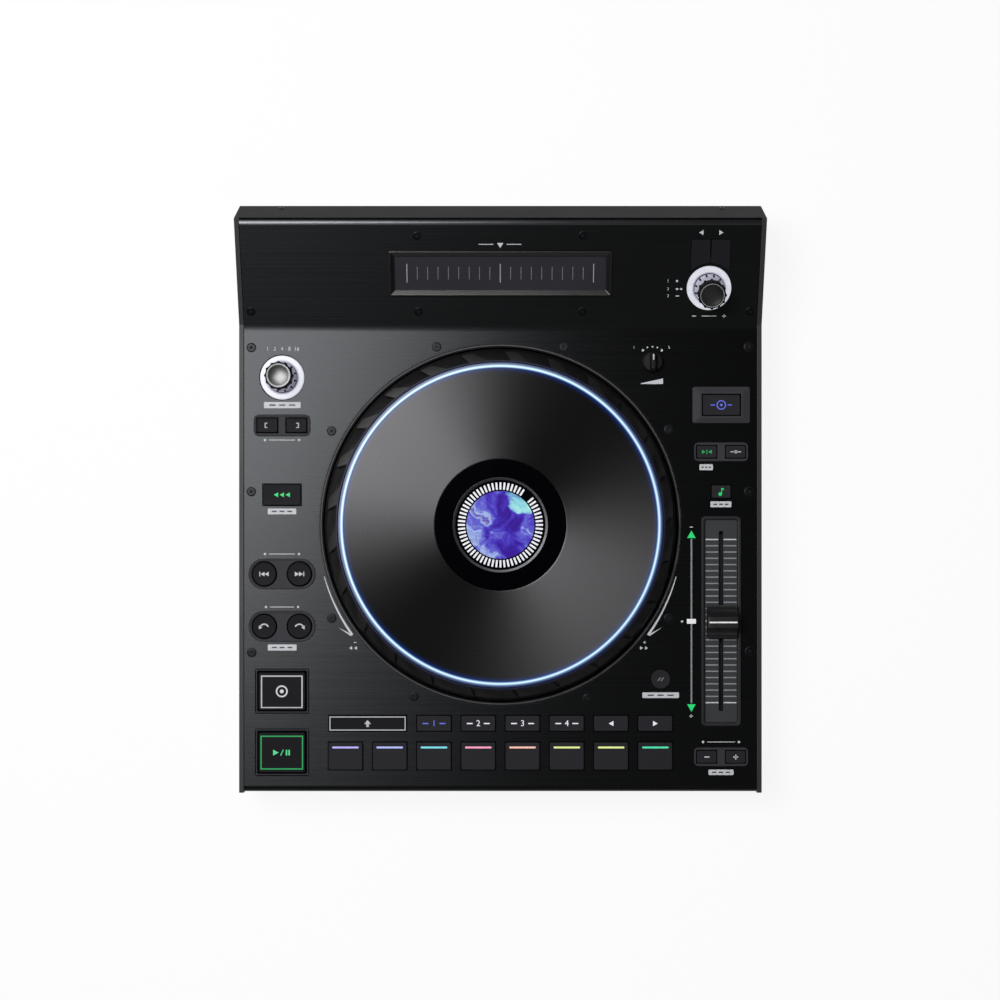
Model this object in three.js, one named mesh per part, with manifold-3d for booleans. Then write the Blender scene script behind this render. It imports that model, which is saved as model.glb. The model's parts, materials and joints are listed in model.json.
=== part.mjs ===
// A DJ deck controller: a moulded housing closed by a bent brushed metal panel, with a jog wheel
// around a fixed round display, two push encoders, a pitch fader and rows of lit buttons.
// Lengths are in millimetres and angles in degrees. +Z is up, +Y is the rear, and the origin is
// the centre of the base. Places on the deck are measured from the front edge and the centre line.

import * as THREE from 'three';
import { mergeVertices } from 'three/addons/utils/BufferGeometryUtils.js';
import Module from 'manifold-3d';

// Housing
const deviceWidth = 320;
const deviceDepth = 360;
const deckHeight = 48;
const footHeight = 6;
const wallThickness = 2.8;
const rearWall = 1.8;
const wallProud = 0.6;
const wallChamfer = 0.8;
const foldFromRear = 73.3;
const slopeAngle = 20.1;
const slopeLength = 65.8;
const rearKneeDrop = 2.6;
const railWidth = 2;
const railHeight = 3;

// Fits
const clearance = 0.3;
const overrun = 1;
const weldDistance = 0.0001;

// Top panel
const panelThickness = 1.6;
const panelFrontSetback = 0.9;
const panelLip = 10;
const panelBend = 0.9;

// Base, feet and rear sockets
const coverThickness = 2;
const footRadius = 13;
const footTaper = 1.2;
const footFromSide = 24;
const footFromEnd = 28;
const portFromCentre = 62;
const portWidth = 12;
const portTall = 11;
const portMouthWidth = 8.6;
const portMouthTall = 8;
const portLength = 17;
const portMouthLength = 10.5;
const lockFromCentre = 96;
const lockWidth = 7;
const lockTall = 3;

// Main board
const boardThickness = 1.6;
const mainBoardWidth = 170;
const mainBoardDepth = 62;
const standoffHeight = 5;
const standoffRadius = 4;
const chipSide = 14;
const chipHeight = 2.2;

// Jog wheel
const wheelToSide = 49;
const wheelToFold = 11.4;
const wheelRise = 12;
const rimWidth = 8.4;
const rimTopStep = 0.4;
const rimShoulder = 1.5;
const rimSkirtDepth = 8;
const rimEdgeDrop = 8.5;
const rimWall = 2;
const rimLedgeShare = 0.395;
const rimLedgeThickness = 5.7;
const rimFacets = 25;
const rimScoopDepth = 1.6;
const lightRingWidth = 2.4;
const lightRingHeight = 4;
const lightRingDrop = 0.2;
const discThickness = 2;
const discEdge = 0.4;
const hubRadius = 39.8;
const webDrop = 6.5;
const webThickness = 2.2;
const displayRingOuter = 28.8;
const displayRingInner = 27.6;
const displayRingProud = 0.3;
const displayGlassDrop = 0.3;
const displayProud = 0.4;
const displayEdge = 0.5;
const spindleRadius = 12;
const spindleBore = 7;
const spindleShoulder = 15;
const spindleFlangeRadius = 24;
const spindleFlangeHeight = 3;
const bearingThickness = 4.2;
const bearingLength = 8;
const sleeveThickness = 3.2;
const sleeveDepth = 9;
const wellGap = 1;
const wellWall = 1.5;
const wellDepth = 14;
const wellFloorThickness = 2;
const wellMouthRadius = 17;
const bezelLip = 1.1;
const bezelProud = 0.5;
const bezelFlange = 3;
const bezelFlangeThickness = 1.5;

// Buttons, their frame and their switches
const frameThickness = 1.8;
const frameFromSide = 5.4;
const frameFromEdge = 5;
const frameMargin = 5.9;
const frameFromRing = 1.7;
const frameLegSide = 3.4;
const surroundProud = 0.5;
const surroundCorner = 2.6;
const flangeMargin = 0.8;
const flangeThickness = 1.2;
const stemSide = 3.2;
const stemLength = 1.9;
const pressTravel = 0.8;
const switchGap = 0.9;
const switchSide = 6;
const keyRise = 1.3;
const keyCorner = 0.9;
const keyChamfer = 0.35;
const deckBoardDrop = 12.4;
const boardFromSide = 6;
const boardFromFold = 14.7;

// Left column
const leftColumnFromSide = 26.2;
const inOutPitch = 17.8;
const inOutWidth = 13.1;
const inOutDepth = 9.2;
const inOutSurroundWidth = 34.3;
const inOutSurroundDepth = 12.9;
const censorWidth = 23.2;
const censorDepth = 12.9;
const roundPitch = 21.5;
const roundRadius = 7.7;
const roundSurroundWidth = 40.7;
const roundSurroundDepth = 18.3;
const cueDepth = 23.4;
const playDepth = 24.9;
const transportWidth = 29;
const transportGap = 1.8;

// Pad and mode rows
const padSideGap = 12.25;
const padColumns = 8;
const padGap = 6.3;
const padDepth = 16.7;
const modeDepth = 9.3;
const shiftInset = 0.3;

// Right column
const rightColumnFromSide = 24.8;
const vinylFrameWidth = 35.1;
const vinylFrameDepth = 22.2;
const vinylFrameProud = 1.9;
const vinylFrameTop = 2.2;
const vinylWidth = 23.4;
const vinylDepth = 13.1;
const rightPitch = 17.7;
const rightKeyWidth = 12.5;
const rightKeyDepth = 7.9;
const rightSurroundWidth = 33;
const rightSurroundDepth = 11.4;
const keyLockWidth = 11.6;
const keyLockDepth = 7.8;
const slipFromSide = 61.9;
const slipRadius = 5.9;

// Pitch fader
const faderFrameWidth = 24.3;
const faderFrontGap = 13.1;
const faderRearGap = 11.1;
const faderCorner = 1.6;
const faderFrameRim = 2.1;
const faderFrameProud = 1.2;
const faderFloorDrop = 0.6;
const faderPlugDepth = 5;
const faderSlotWidth = 2.7;
const faderSlotInset = 9.2;
const faderCapWidth = 18.2;
const faderCapDepth = 20.1;
const faderCapHeight = 10;
const faderCapBase = 3;
const faderRidge = 6.4;
const faderCapLift = 1.9;
const faderStemWidth = 1.7;
const faderStemDepth = 6;
const faderPotWidth = 9;
const faderPotInset = 2.3;
const faderPotHeight = 3.4;

// Encoders
const loopFromSide = 26.2;
const selectFromSide = 33;
const selectUpSlope = 22.8;
const ringOuterRadius = 13.7;
const ringInnerRadius = 10.3;
const ringProud = 1;
const ringFlange = 1.6;
const ringFlangeThickness = 1.5;
const knobRadius = 9.3;
const knobFlutes = 12;
const knobFluteDepth = 0.9;
const knobGripHeight = 9.5;
const knobCapRadius = 7.8;
const knobHeight = 17.6;
const knobDish = 0.9;
const knobLip = 0.8;
const knobLift = 1.3;
const shaftRadius = 3;
const shaftTop = 10.6;
const rotorRadius = 6;
const rotorThickness = 2;
const encoderSide = 12;
const encoderHeight = 5;

// Wheel adjust control
const adjustFromSide = 67;
const adjustRadius = 6.5;
const adjustSkirtHeight = 3;
const adjustTaper = 0.9;
const adjustHeight = 10.5;
const adjustFinWidth = 3;
const adjustLift = 0.5;
const adjustPotHeight = 4;

// Touch strip and browse buttons on the slope
const stripUpSlope = 32.2;
const stripWidth = 135;
const stripDepth = 27.6;
const stripRim = 3.4;
const stripProud = 1.9;
const stripFloor = 0.4;
const stripPlugInset = 2.2;
const stripPlugDepth = 4;
const stripCorner = 0.8;
const browseUpSlope = 43;
const browsePitch = 12.1;
const browseWidth = 11.3;
const browseDepth = 20;
const browseRecessRadius = 15.8;

// Rows of controls, as shares of the deck from its front edge to the fold
const playRowShare = 0.0865;
const cueRowShare = 0.2173;
const jumpRowShare = 0.3558;
const skipRowShare = 0.4677;
const censorRowShare = 0.6369;
const inOutRowShare = 0.7851;
const loopRowShare = 0.8877;
const padRowShare = 0.0788;
const modeRowShare = 0.1486;
const bendRowShare = 0.0771;
const slipRowShare = 0.2431;
const keyLockRowShare = 0.6435;
const syncRowShare = 0.7286;
const vinylRowShare = 0.8287;
const adjustRowShare = 0.9205;
const wheelRowShare = 0.5731;

// Facet counts
const wheelSegments = 50;
const hubSegments = 36;
const smallSegments = 20;
const keySegments = 16;
const cornerSegments = 1;
const surroundSegments = 2;
const roundEndSegments = 5;

// Worked-out places, from the deck surface and the front edge
const halfWidth = deviceWidth / 2;
const slopeTurn = THREE.MathUtils.degToRad(slopeAngle);
const foldFromFront = deviceDepth - foldFromRear;
const baseDrop = deckHeight - footHeight;
const innerHalfWidth = halfWidth - wallThickness;
const panelHalfWidth = innerHalfWidth - clearance;
const panelUnderside = -panelThickness;
const frameTop = panelUnderside - clearance;
const frameBottom = frameTop - frameThickness;
const flangeTop = frameBottom - clearance;
const flangeBottom = flangeTop - flangeThickness;
const stemEnd = flangeBottom - stemLength;
const switchTop = stemEnd - switchGap;
const boardTop = -deckBoardDrop;
const boardBottom = boardTop - boardThickness;
const playRow = playRowShare * foldFromFront;
const cueRow = cueRowShare * foldFromFront;
const jumpRow = jumpRowShare * foldFromFront;
const skipRow = skipRowShare * foldFromFront;
const censorRow = censorRowShare * foldFromFront;
const inOutRow = inOutRowShare * foldFromFront;
const loopRow = loopRowShare * foldFromFront;
const padRow = padRowShare * foldFromFront;
const modeRow = modeRowShare * foldFromFront;
const bendRow = bendRowShare * foldFromFront;
const slipRow = slipRowShare * foldFromFront;
const keyLockRow = keyLockRowShare * foldFromFront;
const syncRow = syncRowShare * foldFromFront;
const vinylRow = vinylRowShare * foldFromFront;
const adjustRow = adjustRowShare * foldFromFront;
const wheelRow = wheelRowShare * foldFromFront;
const leftX = leftColumnFromSide - halfWidth;
const rightX = halfWidth - rightColumnFromSide;
const slipX = halfWidth - slipFromSide;
const loopX = loopFromSide - halfWidth;
const selectX = halfWidth - selectFromSide;
const adjustX = halfWidth - adjustFromSide;
const bezelRadius = Math.min(halfWidth - wheelToSide, foldFromFront - wheelRow - wheelToFold);
const wellRadius = bezelRadius - bezelLip - wellWall;
const platterRadius = wellRadius - wellGap;
const rimInnerRadius = platterRadius - rimWidth;
const lightRingOuter = rimInnerRadius - clearance;
const lightRingInner = lightRingOuter - lightRingWidth;
const discRadius = lightRingInner - clearance;
const rimLedgeRadius = hubRadius + rimLedgeShare * (discRadius - hubRadius);
const bezelFlangeRadius = bezelRadius + bezelFlange;
const frameHalfWidth = halfWidth - frameFromSide;
const frameStripDepth = cueRow + cueDepth / 2 + frameMargin;
const boardReach = foldFromFront - boardFromFold;
const padSpan = -2 * (leftX + transportWidth / 2 + transportGap + padSideGap);
const padPitch = (padSpan + padGap) / padColumns;
const padWidth = padPitch - padGap;
const faderFront = bendRow + rightSurroundDepth / 2 + faderFrontGap;
const faderRear = keyLockRow - keyLockDepth / 2 - faderRearGap;
const faderRow = (faderFront + faderRear) / 2;
const faderFrameDepth = faderRear - faderFront;
const faderSlotLength = faderFrameDepth - 2 * faderSlotInset;
const faderPotDepth = faderFrameDepth - 2 * faderPotInset;
const mainBoardLow = coverThickness + standoffHeight - baseDrop;
const mainBoardHigh = mainBoardLow + boardThickness;
const portZ = mainBoardHigh + portTall / 2;

const wasm = await Module();
wasm.setup();

// Materials, by the finish of the real surface

function finish(colour, roughness, metalness) {
  return new THREE.MeshStandardMaterial({ color: colour, roughness, metalness });
}

const blackPlastic = finish(0x1b1b1e, 0.55, 0);
const anodisedMetal = finish(0x232427, 0.42, 0.85);
const spunMetal = finish(0x3a3a3c, 0.3, 0.9);
const rubber = finish(0x101012, 0.9, 0);
const keyPlastic = finish(0x2c2c30, 0.6, 0);
const greyPlastic = finish(0x414145, 0.5, 0);
const glossyBlack = finish(0x08080a, 0.1, 0);
const whiteDiffuser = finish(0xf2f4f6, 0.35, 0);
const blueDiffuser = finish(0xbfe4ff, 0.35, 0);
const steel = finish(0x9a9ca0, 0.3, 0.95);
const circuitBoard = finish(0x12402a, 0.6, 0);

// Solids: closed meshes made by three and joined or cut as manifolds

function signedVolume(points, corners) {
  const a = new THREE.Vector3();
  const b = new THREE.Vector3();
  const c = new THREE.Vector3();
  let total = 0;
  for (let i = 0; i < corners.length; i += 3) {
    a.fromArray(points, 3 * corners[i]);
    b.fromArray(points, 3 * corners[i + 1]);
    c.fromArray(points, 3 * corners[i + 2]);
    total += a.dot(b.cross(c));
  }
  return total / 6;
}

function solidOf(geometry) {
  const bare = geometry.clone();
  bare.deleteAttribute('normal');
  bare.deleteAttribute('uv');
  const welded = mergeVertices(bare, weldDistance);
  const points = new Float32Array(welded.attributes.position.array);
  const index = welded.index.array;
  const corners = [];
  for (let i = 0; i < index.length; i += 3) {
    const [a, b, c] = [index[i], index[i + 1], index[i + 2]];
    if (a !== b && b !== c && c !== a) corners.push(a, b, c);
  }
  if (signedVolume(points, corners) < 0) corners.reverse();
  const triVerts = new Uint32Array(corners);
  return new wasm.Manifold(new wasm.Mesh({ numProp: 3, vertProperties: points, triVerts }));
}

function geometryOf(solid) {
  const mesh = solid.getMesh();
  const geometry = new THREE.BufferGeometry();
  const points = new Float32Array(mesh.vertProperties);
  geometry.setAttribute('position', new THREE.BufferAttribute(points, mesh.numProp));
  geometry.setIndex(new THREE.BufferAttribute(new Uint32Array(mesh.triVerts), 1));
  geometry.computeVertexNormals();
  return geometry;
}

function joined(first, ...others) {
  return others.reduce((whole, other) => whole.add(other), first);
}

function cutBy(first, ...tools) {
  return tools.reduce((whole, tool) => whole.subtract(tool), first);
}

// Rings of points round a rectangle with round corners, or round a circle
function rectangleRing(width, depth, radius, height, segments = cornerSegments) {
  const ring = [];
  for (let corner = 0; corner < 4; corner += 1) {
    const sideX = corner === 0 || corner === 3 ? 1 : -1;
    const sideY = corner < 2 ? 1 : -1;
    for (let step = 0; step <= segments; step += 1) {
      const turn = (Math.PI / 2) * (corner + step / segments);
      const x = sideX * (width / 2 - radius) + radius * Math.cos(turn);
      const y = sideY * (depth / 2 - radius) + radius * Math.sin(turn);
      ring.push(new THREE.Vector3(x, y, height));
    }
  }
  return ring;
}

function circleRing(radiusAt, heightAt, count) {
  const ring = [];
  for (let step = 0; step < count; step += 1) {
    const turn = (2 * Math.PI * step) / count;
    const radius = radiusAt(step);
    ring.push(new THREE.Vector3(radius * Math.cos(turn), radius * Math.sin(turn), heightAt(step)));
  }
  return ring;
}

function outlineOf(ring, x, y) {
  return new THREE.Shape(ring.map((point) => new THREE.Vector2(x + point.x, y + point.y)));
}

function roundedRectangle(width, depth, radius, x = 0, y = 0, segments = cornerSegments) {
  return outlineOf(rectangleRing(width, depth, radius, 0, segments), x, y);
}

function circle(radius, x = 0, y = 0, segments = smallSegments) {
  return outlineOf(circleRing(() => radius, () => 0, segments), x, y);
}

function rectangle(left, front, right, rear) {
  const shape = new THREE.Shape();
  shape.moveTo(left, front);
  shape.lineTo(right, front);
  shape.lineTo(right, rear);
  shape.lineTo(left, rear);
  shape.closePath();
  return shape;
}

function slab(shape, low, high) {
  const settings = { depth: high - low, bevelEnabled: false, curveSegments: hubSegments };
  return solidOf(new THREE.ExtrudeGeometry(shape, settings).translate(0, 0, low));
}

function block(width, depth, low, high, x = 0, y = 0) {
  const box = new THREE.BoxGeometry(width, depth, high - low);
  return solidOf(box.translate(x, y, (low + high) / 2));
}

function post(radius, low, high, x = 0, y = 0, segments = smallSegments) {
  return slab(circle(radius, x, y, segments), low, high);
}

// A round cutter whose flats, not its corners, lie at the radius
function bore(radius, low, high, x = 0, y = 0, segments = smallSegments) {
  return post(radius / Math.cos(Math.PI / segments), low, high, x, y, segments);
}

// A side view in depth and height, drawn out across the width
function sideProfile(points, left, right) {
  const shape = new THREE.Shape(points.map(([y, z]) => new THREE.Vector2(y, z)));
  const settings = { depth: right - left, bevelEnabled: false };
  const acrossWidth = new THREE.Matrix4().makeBasis(
    new THREE.Vector3(0, 1, 0),
    new THREE.Vector3(0, 0, 1),
    new THREE.Vector3(1, 0, 0),
  );
  const geometry = new THREE.ExtrudeGeometry(shape, settings).applyMatrix4(acrossWidth);
  return solidOf(geometry.translate(left, 0, 0));
}

// A half section in radius and height, turned about the vertical axis
function turned(points, segments) {
  const section = points.map(([r, z]) => new THREE.Vector2(r, z));
  return solidOf(new THREE.LatheGeometry(section, segments).rotateX(Math.PI / 2));
}

function closedTurn(points, segments) {
  return turned([...points, points[0]], segments);
}

// Rings of equal count joined side by side: closed on itself, or capped at both ends
function loft(rings, closesOnItself) {
  const count = rings[0].length;
  const points = rings.flat().flatMap((point) => point.toArray());
  const corners = [];
  const spans = closesOnItself ? rings.length : rings.length - 1;
  for (let ring = 0; ring < spans; ring += 1) {
    const here = ring * count;
    const next = ((ring + 1) % rings.length) * count;
    for (let i = 0; i < count; i += 1) {
      const j = (i + 1) % count;
      corners.push(here + i, here + j, next + j, here + i, next + j, next + i);
    }
  }
  if (!closesOnItself) {
    const last = (rings.length - 1) * count;
    for (let i = 1; i < count - 1; i += 1) {
      corners.push(0, i + 1, i, last, last + i, last + i + 1);
    }
  }
  const geometry = new THREE.BufferGeometry();
  geometry.setAttribute('position', new THREE.Float32BufferAttribute(points, 3));
  geometry.setIndex(corners);
  return solidOf(geometry);
}

// The assembly: everything hangs on a group at the front edge of the deck

const controller = new THREE.Group();
const deck = new THREE.Group();
deck.position.set(0, -deviceDepth / 2, deckHeight);
const slope = new THREE.Group();
slope.position.set(0, foldFromFront, 0);
slope.rotation.x = slopeTurn;
slope.updateMatrix();
const wheel = new THREE.Group();
wheel.position.set(0, wheelRow, 0);
controller.add(deck);
deck.add(slope, wheel);

function add(parent, name, solid, material, x = 0, y = 0, z = 0) {
  const mesh = new THREE.Mesh(geometryOf(solid), material);
  mesh.name = name;
  mesh.position.set(x, y, z);
  parent.add(mesh);
}

function onSlope(solid) {
  return solidOf(geometryOf(solid).applyMatrix4(slope.matrix));
}

function moved(solid, x, y) {
  return solidOf(geometryOf(solid).translate(x, y, 0));
}

// The line of the deck and its slope, at a height above the metal surface
function foldPoint(height) {
  return [foldFromFront - height * Math.tan(slopeTurn / 2), height];
}

function slopePoint(along, height) {
  const y = foldFromFront + along * Math.cos(slopeTurn) - height * Math.sin(slopeTurn);
  const z = along * Math.sin(slopeTurn) + height * Math.cos(slopeTurn);
  return [y, z];
}

function slopeAtDepth(y, height) {
  const along = (y - foldFromFront + height * Math.sin(slopeTurn)) / Math.cos(slopeTurn);
  return slopePoint(along, height);
}

function bentBand(high, low, start, end) {
  return [
    [start, low],
    foldPoint(low),
    slopePoint(end, low),
    slopePoint(end, high),
    foldPoint(high),
    [start, high],
  ];
}

// The keys: every cap that is pressed, with its outline and its place

const firstPadX = -(padPitch * (padColumns - 1)) / 2;
const padX = (column) => firstPadX + padPitch * column;
const padNames = Array.from({ length: padColumns }, (_, i) => `pad_${i + 1}`);

function keyOf(name, x, y, width, depth, surrounded = false) {
  return { name, x, y, width, depth, surrounded };
}

function roundKeyOf(name, x, y, radius, surrounded = false) {
  return { name, x, y, radius, surrounded };
}

function pairOf(names, x, y, pitch, make) {
  return names.map((name, i) => make(name, x + (i - 1 / 2) * pitch, y));
}

const inOutKey = (name, x, y) => keyOf(name, x, y, inOutWidth, inOutDepth, true);
const rightKey = (name, x, y) => keyOf(name, x, y, rightKeyWidth, rightKeyDepth, true);
const roundKey = (name, x, y) => roundKeyOf(name, x, y, roundRadius, true);
const shiftWidth = padPitch + padWidth - 2 * shiftInset;
const modeNames = ['mode_1', 'mode_2', 'mode_3', 'mode_4', 'page_left', 'page_right'];

const keys = [
  ...pairOf(['loop_in', 'loop_out'], leftX, inOutRow, inOutPitch, inOutKey),
  keyOf('censor', leftX, censorRow, censorWidth, censorDepth),
  ...pairOf(['skip_back', 'skip_forward'], leftX, skipRow, roundPitch, roundKey),
  ...pairOf(['jump_back', 'jump_forward'], leftX, jumpRow, roundPitch, roundKey),
  keyOf('cue', leftX, cueRow, transportWidth, cueDepth),
  keyOf('play', leftX, playRow, transportWidth, playDepth),
  keyOf('shift', padX(1 / 2), modeRow, shiftWidth, modeDepth),
  ...modeNames.map((name, i) => keyOf(name, padX(i + 2), modeRow, padWidth, modeDepth)),
  ...padNames.map((name, i) => keyOf(name, padX(i), padRow, padWidth, padDepth)),
  keyOf('vinyl', rightX, vinylRow, vinylWidth, vinylDepth, true),
  ...pairOf(['sync', 'master'], rightX, syncRow, rightPitch, rightKey),
  keyOf('key_lock', rightX, keyLockRow, keyLockWidth, keyLockDepth),
  roundKeyOf('slip', slipX, slipRow, slipRadius),
  ...pairOf(['bend_minus', 'bend_plus'], rightX, bendRow, rightPitch, rightKey),
];

function keyOutline(key, margin) {
  if (key.radius) return circle(key.radius + margin, key.x, key.y, keySegments);
  const width = key.width + 2 * margin;
  const depth = key.depth + 2 * margin;
  return roundedRectangle(width, depth, keyCorner + margin / 2, key.x, key.y);
}

function keyHole(key, margin, low, high) {
  return slab(keyOutline(key, margin), low, high);
}

function keySolid(key) {
  if (key.radius) {
    const radius = key.radius;
    const stem = stemSide / 2;
    return turned([
      [0, stemEnd],
      [stem, stemEnd],
      [stem, flangeBottom],
      [radius + flangeMargin, flangeBottom],
      [radius + flangeMargin, flangeTop],
      [radius, flangeTop],
      [radius, keyRise - keyChamfer],
      [radius - keyChamfer, keyRise],
      [0, keyRise],
    ], keySegments);
  }
  const flangeWidth = key.width + 2 * flangeMargin;
  const flangeDepth = key.depth + 2 * flangeMargin;
  const topWidth = key.width - 2 * keyChamfer;
  const topDepth = key.depth - 2 * keyChamfer;
  const cap = loft([
    rectangleRing(key.width, key.depth, keyCorner, flangeTop - flangeThickness / 2),
    rectangleRing(key.width, key.depth, keyCorner, keyRise - keyChamfer),
    rectangleRing(topWidth, topDepth, keyCorner, keyRise),
  ], false);
  const flange = block(flangeWidth, flangeDepth, flangeBottom, flangeTop);
  return joined(cap, flange, block(stemSide, stemSide, stemEnd, flangeTop - flangeThickness / 2));
}

// The surrounds that stand up through the panel around pairs of keys

const surrounds = [
  { x: leftX, y: inOutRow, width: inOutSurroundWidth, depth: inOutSurroundDepth },
  { x: leftX, y: skipRow, width: roundSurroundWidth, depth: roundSurroundDepth, stadium: true },
  { x: leftX, y: jumpRow, width: roundSurroundWidth, depth: roundSurroundDepth, stadium: true },
  { x: rightX, y: syncRow, width: rightSurroundWidth, depth: rightSurroundDepth },
  { x: rightX, y: bendRow, width: rightSurroundWidth, depth: rightSurroundDepth },
];

function surroundOutline(surround, margin) {
  const width = surround.width + 2 * margin;
  const depth = surround.depth + 2 * margin;
  const radius = surround.stadium ? depth / 2 - clearance : surroundCorner + margin;
  const segments = surround.stadium ? roundEndSegments : surroundSegments;
  return roundedRectangle(width, depth, radius, surround.x, surround.y, segments);
}

function surroundSlab(surround, margin, low, high) {
  return slab(surroundOutline(surround, margin), low, high);
}

// Housing: a side profile drawn across the width, hollowed, with rails that carry the panel

function housing() {
  const top = wallProud;
  const [crestY, crestZ] = slopePoint(slopeLength, top);
  const [foldY] = foldPoint(top);
  const outer = sideProfile([
    [0, -baseDrop],
    [deviceDepth, -baseDrop],
    [deviceDepth, -rearKneeDrop],
    [crestY, crestZ],
    [foldY, top],
    [wallChamfer, top],
    [0, top - wallChamfer],
  ], -halfWidth, halfWidth);
  const inner = sideProfile([
    [wallThickness, -baseDrop - overrun],
    [deviceDepth - rearWall, -baseDrop - overrun],
    [deviceDepth - rearWall, -rearKneeDrop],
    [crestY - rearWall, crestZ],
    [crestY - rearWall, crestZ + overrun],
    [wallThickness, crestZ + overrun],
  ], -innerHalfWidth, innerHalfWidth);
  const lipNotch = sideProfile([
    [-overrun, -panelLip - clearance],
    [wallThickness + overrun, -panelLip - clearance],
    [wallThickness + overrun, crestZ],
    [-overrun, crestZ],
  ], -innerHalfWidth, innerHalfWidth);
  const shell = cutBy(outer, inner, lipNotch);
  return cutBy(joined(shell, ...panelRails(), ...coverRails()), ...rearOpenings());
}

// Rails along both side walls, just under the panel
function panelRails() {
  const high = panelUnderside - clearance;
  const start = wallThickness + panelThickness + clearance;
  const band = bentBand(high, high - railHeight, start, slopeLength - 2 * wallThickness);
  return [-1, 1].map((side) => {
    const wallSide = side * (innerHalfWidth + clearance);
    const freeSide = side * (innerHalfWidth - railWidth);
    return sideProfile(band, Math.min(wallSide, freeSide), Math.max(wallSide, freeSide));
  });
}

// Rails that the base cover closes against
function coverRails() {
  const low = coverThickness + clearance - baseDrop;
  const depth = deviceDepth - 2 * wallThickness + 2 * clearance;
  return [-1, 1].map((side) => {
    const x = side * (innerHalfWidth - railWidth / 2 + clearance / 2);
    return block(railWidth + clearance, depth, low, low + railHeight, x, deviceDepth / 2);
  });
}

function rearOpenings() {
  const port = block(
    portWidth + 2 * clearance,
    4 * rearWall,
    portZ - portTall / 2 - clearance,
    portZ + portTall / 2 + clearance,
    portFromCentre,
    deviceDepth,
  );
  const lock = block(
    lockWidth,
    4 * rearWall,
    portZ - lockTall / 2,
    portZ + lockTall / 2,
    lockFromCentre,
    deviceDepth,
  );
  return [port, lock];
}

// Top panel: one bent sheet with every cut-out

function panelSheet() {
  const start = panelFrontSetback;
  const [crestY] = slopePoint(slopeLength, wallProud);
  const rear = crestY - rearWall - clearance;
  return sideProfile([
    [start, -panelLip],
    [start + panelThickness, -panelLip],
    [start + panelThickness, panelUnderside],
    foldPoint(panelUnderside),
    slopeAtDepth(rear, panelUnderside),
    slopeAtDepth(rear, -panelBend),
    slopeAtDepth(rear - panelBend, 0),
    foldPoint(0),
    [start + panelBend, 0],
    [start, -panelBend],
  ], -panelHalfWidth, panelHalfWidth);
}

function transportRecess(key, low, high) {
  const width = key.width + 2 * transportGap;
  const depth = key.depth + 2 * transportGap;
  return slab(roundedRectangle(width, depth, keyCorner, key.x, key.y), low, high);
}

function deckCuts(low, high) {
  const open = keys.filter((key) => !key.surrounded);
  return open.map((key) => {
    const isTransport = key.name === 'cue' || key.name === 'play';
    return isTransport ? transportRecess(key, low, high) : keyHole(key, clearance, low, high);
  });
}

function vinylFrameHole(low, high) {
  const width = vinylFrameWidth - 2 * vinylFrameTop + 2 * clearance;
  const depth = vinylFrameDepth - 2 * vinylFrameTop + 2 * clearance;
  return slab(roundedRectangle(width, depth, keyCorner, rightX, vinylRow), low, high);
}

function faderHole(low, high) {
  const width = faderFrameWidth - 2 * faderCorner + 2 * clearance;
  const depth = faderFrameDepth - 2 * faderCorner + 2 * clearance;
  return slab(roundedRectangle(width, depth, faderCorner, rightX, faderRow), low, high);
}

function slopeCuts(low, high) {
  const stripHoleWidth = stripWidth - 2 * stripPlugInset + 2 * clearance;
  const stripHoleDepth = stripDepth - 2 * stripPlugInset + 2 * clearance;
  const strip = roundedRectangle(stripHoleWidth, stripHoleDepth, stripCorner, 0, stripUpSlope);
  const browseBay = browseBayOutline(clearance);
  return [
    slab(strip, low, high),
    slab(browseBay, low, high),
    bore(ringOuterRadius + clearance, low, high, selectX, selectUpSlope),
  ].map(onSlope);
}

// The bay for the two browse keys, its near side following the encoder's recess
function browseBayOutline(margin) {
  const half = browsePitch / 2 + browseWidth / 2 + margin;
  const far = browseUpSlope + browseDepth / 2 + margin;
  const radius = browseRecessRadius - margin;
  const turn = Math.acos(half / radius);
  const shape = new THREE.Shape();
  shape.moveTo(selectX + half, far);
  shape.lineTo(selectX - half, far);
  for (let step = 0; step <= keySegments; step += 1) {
    const angle = Math.PI - turn + ((2 * turn - Math.PI) * step) / keySegments;
    shape.lineTo(selectX + radius * Math.cos(angle), selectUpSlope + radius * Math.sin(angle));
  }
  shape.closePath();
  return shape;
}

function topPanel() {
  const low = panelUnderside - overrun;
  const high = overrun;
  return cutBy(
    panelSheet(),
    bore(bezelRadius + clearance, low, high, 0, wheelRow, wheelSegments),
    bore(ringOuterRadius + clearance, low, high, loopX, loopRow),
    bore(shaftRadius + clearance, low, high, adjustX, adjustRow),
    ...deckCuts(low, high),
    ...surrounds.map((surround) => surroundSlab(surround, clearance, low, high)),
    vinylFrameHole(low, high),
    faderHole(low, high),
    ...slopeCuts(low, high),
  );
}

// Button frame: a moulded plate under the panel with the surrounds and legs in one piece

function frameOutlineSlab(low, high) {
  const front = frameFromEdge + wallThickness;
  const innerEdge = bezelFlangeRadius - frameThickness;
  const leftTop = loopRow - ringOuterRadius - ringFlange - frameFromRing;
  const rightTop = vinylRow + vinylFrameDepth / 2 + frameMargin;
  const left = rectangle(-frameHalfWidth, front, -innerEdge, leftTop);
  const right = rectangle(innerEdge, front, frameHalfWidth, rightTop);
  const strip = rectangle(-frameHalfWidth, front, frameHalfWidth, frameStripDepth);
  const whole = joined(slab(strip, low, high), slab(left, low, high), slab(right, low, high));
  const reach = bezelFlangeRadius + clearance;
  return cutBy(whole, bore(reach, low - overrun, high + overrun, 0, wheelRow, wheelSegments));
}

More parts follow.
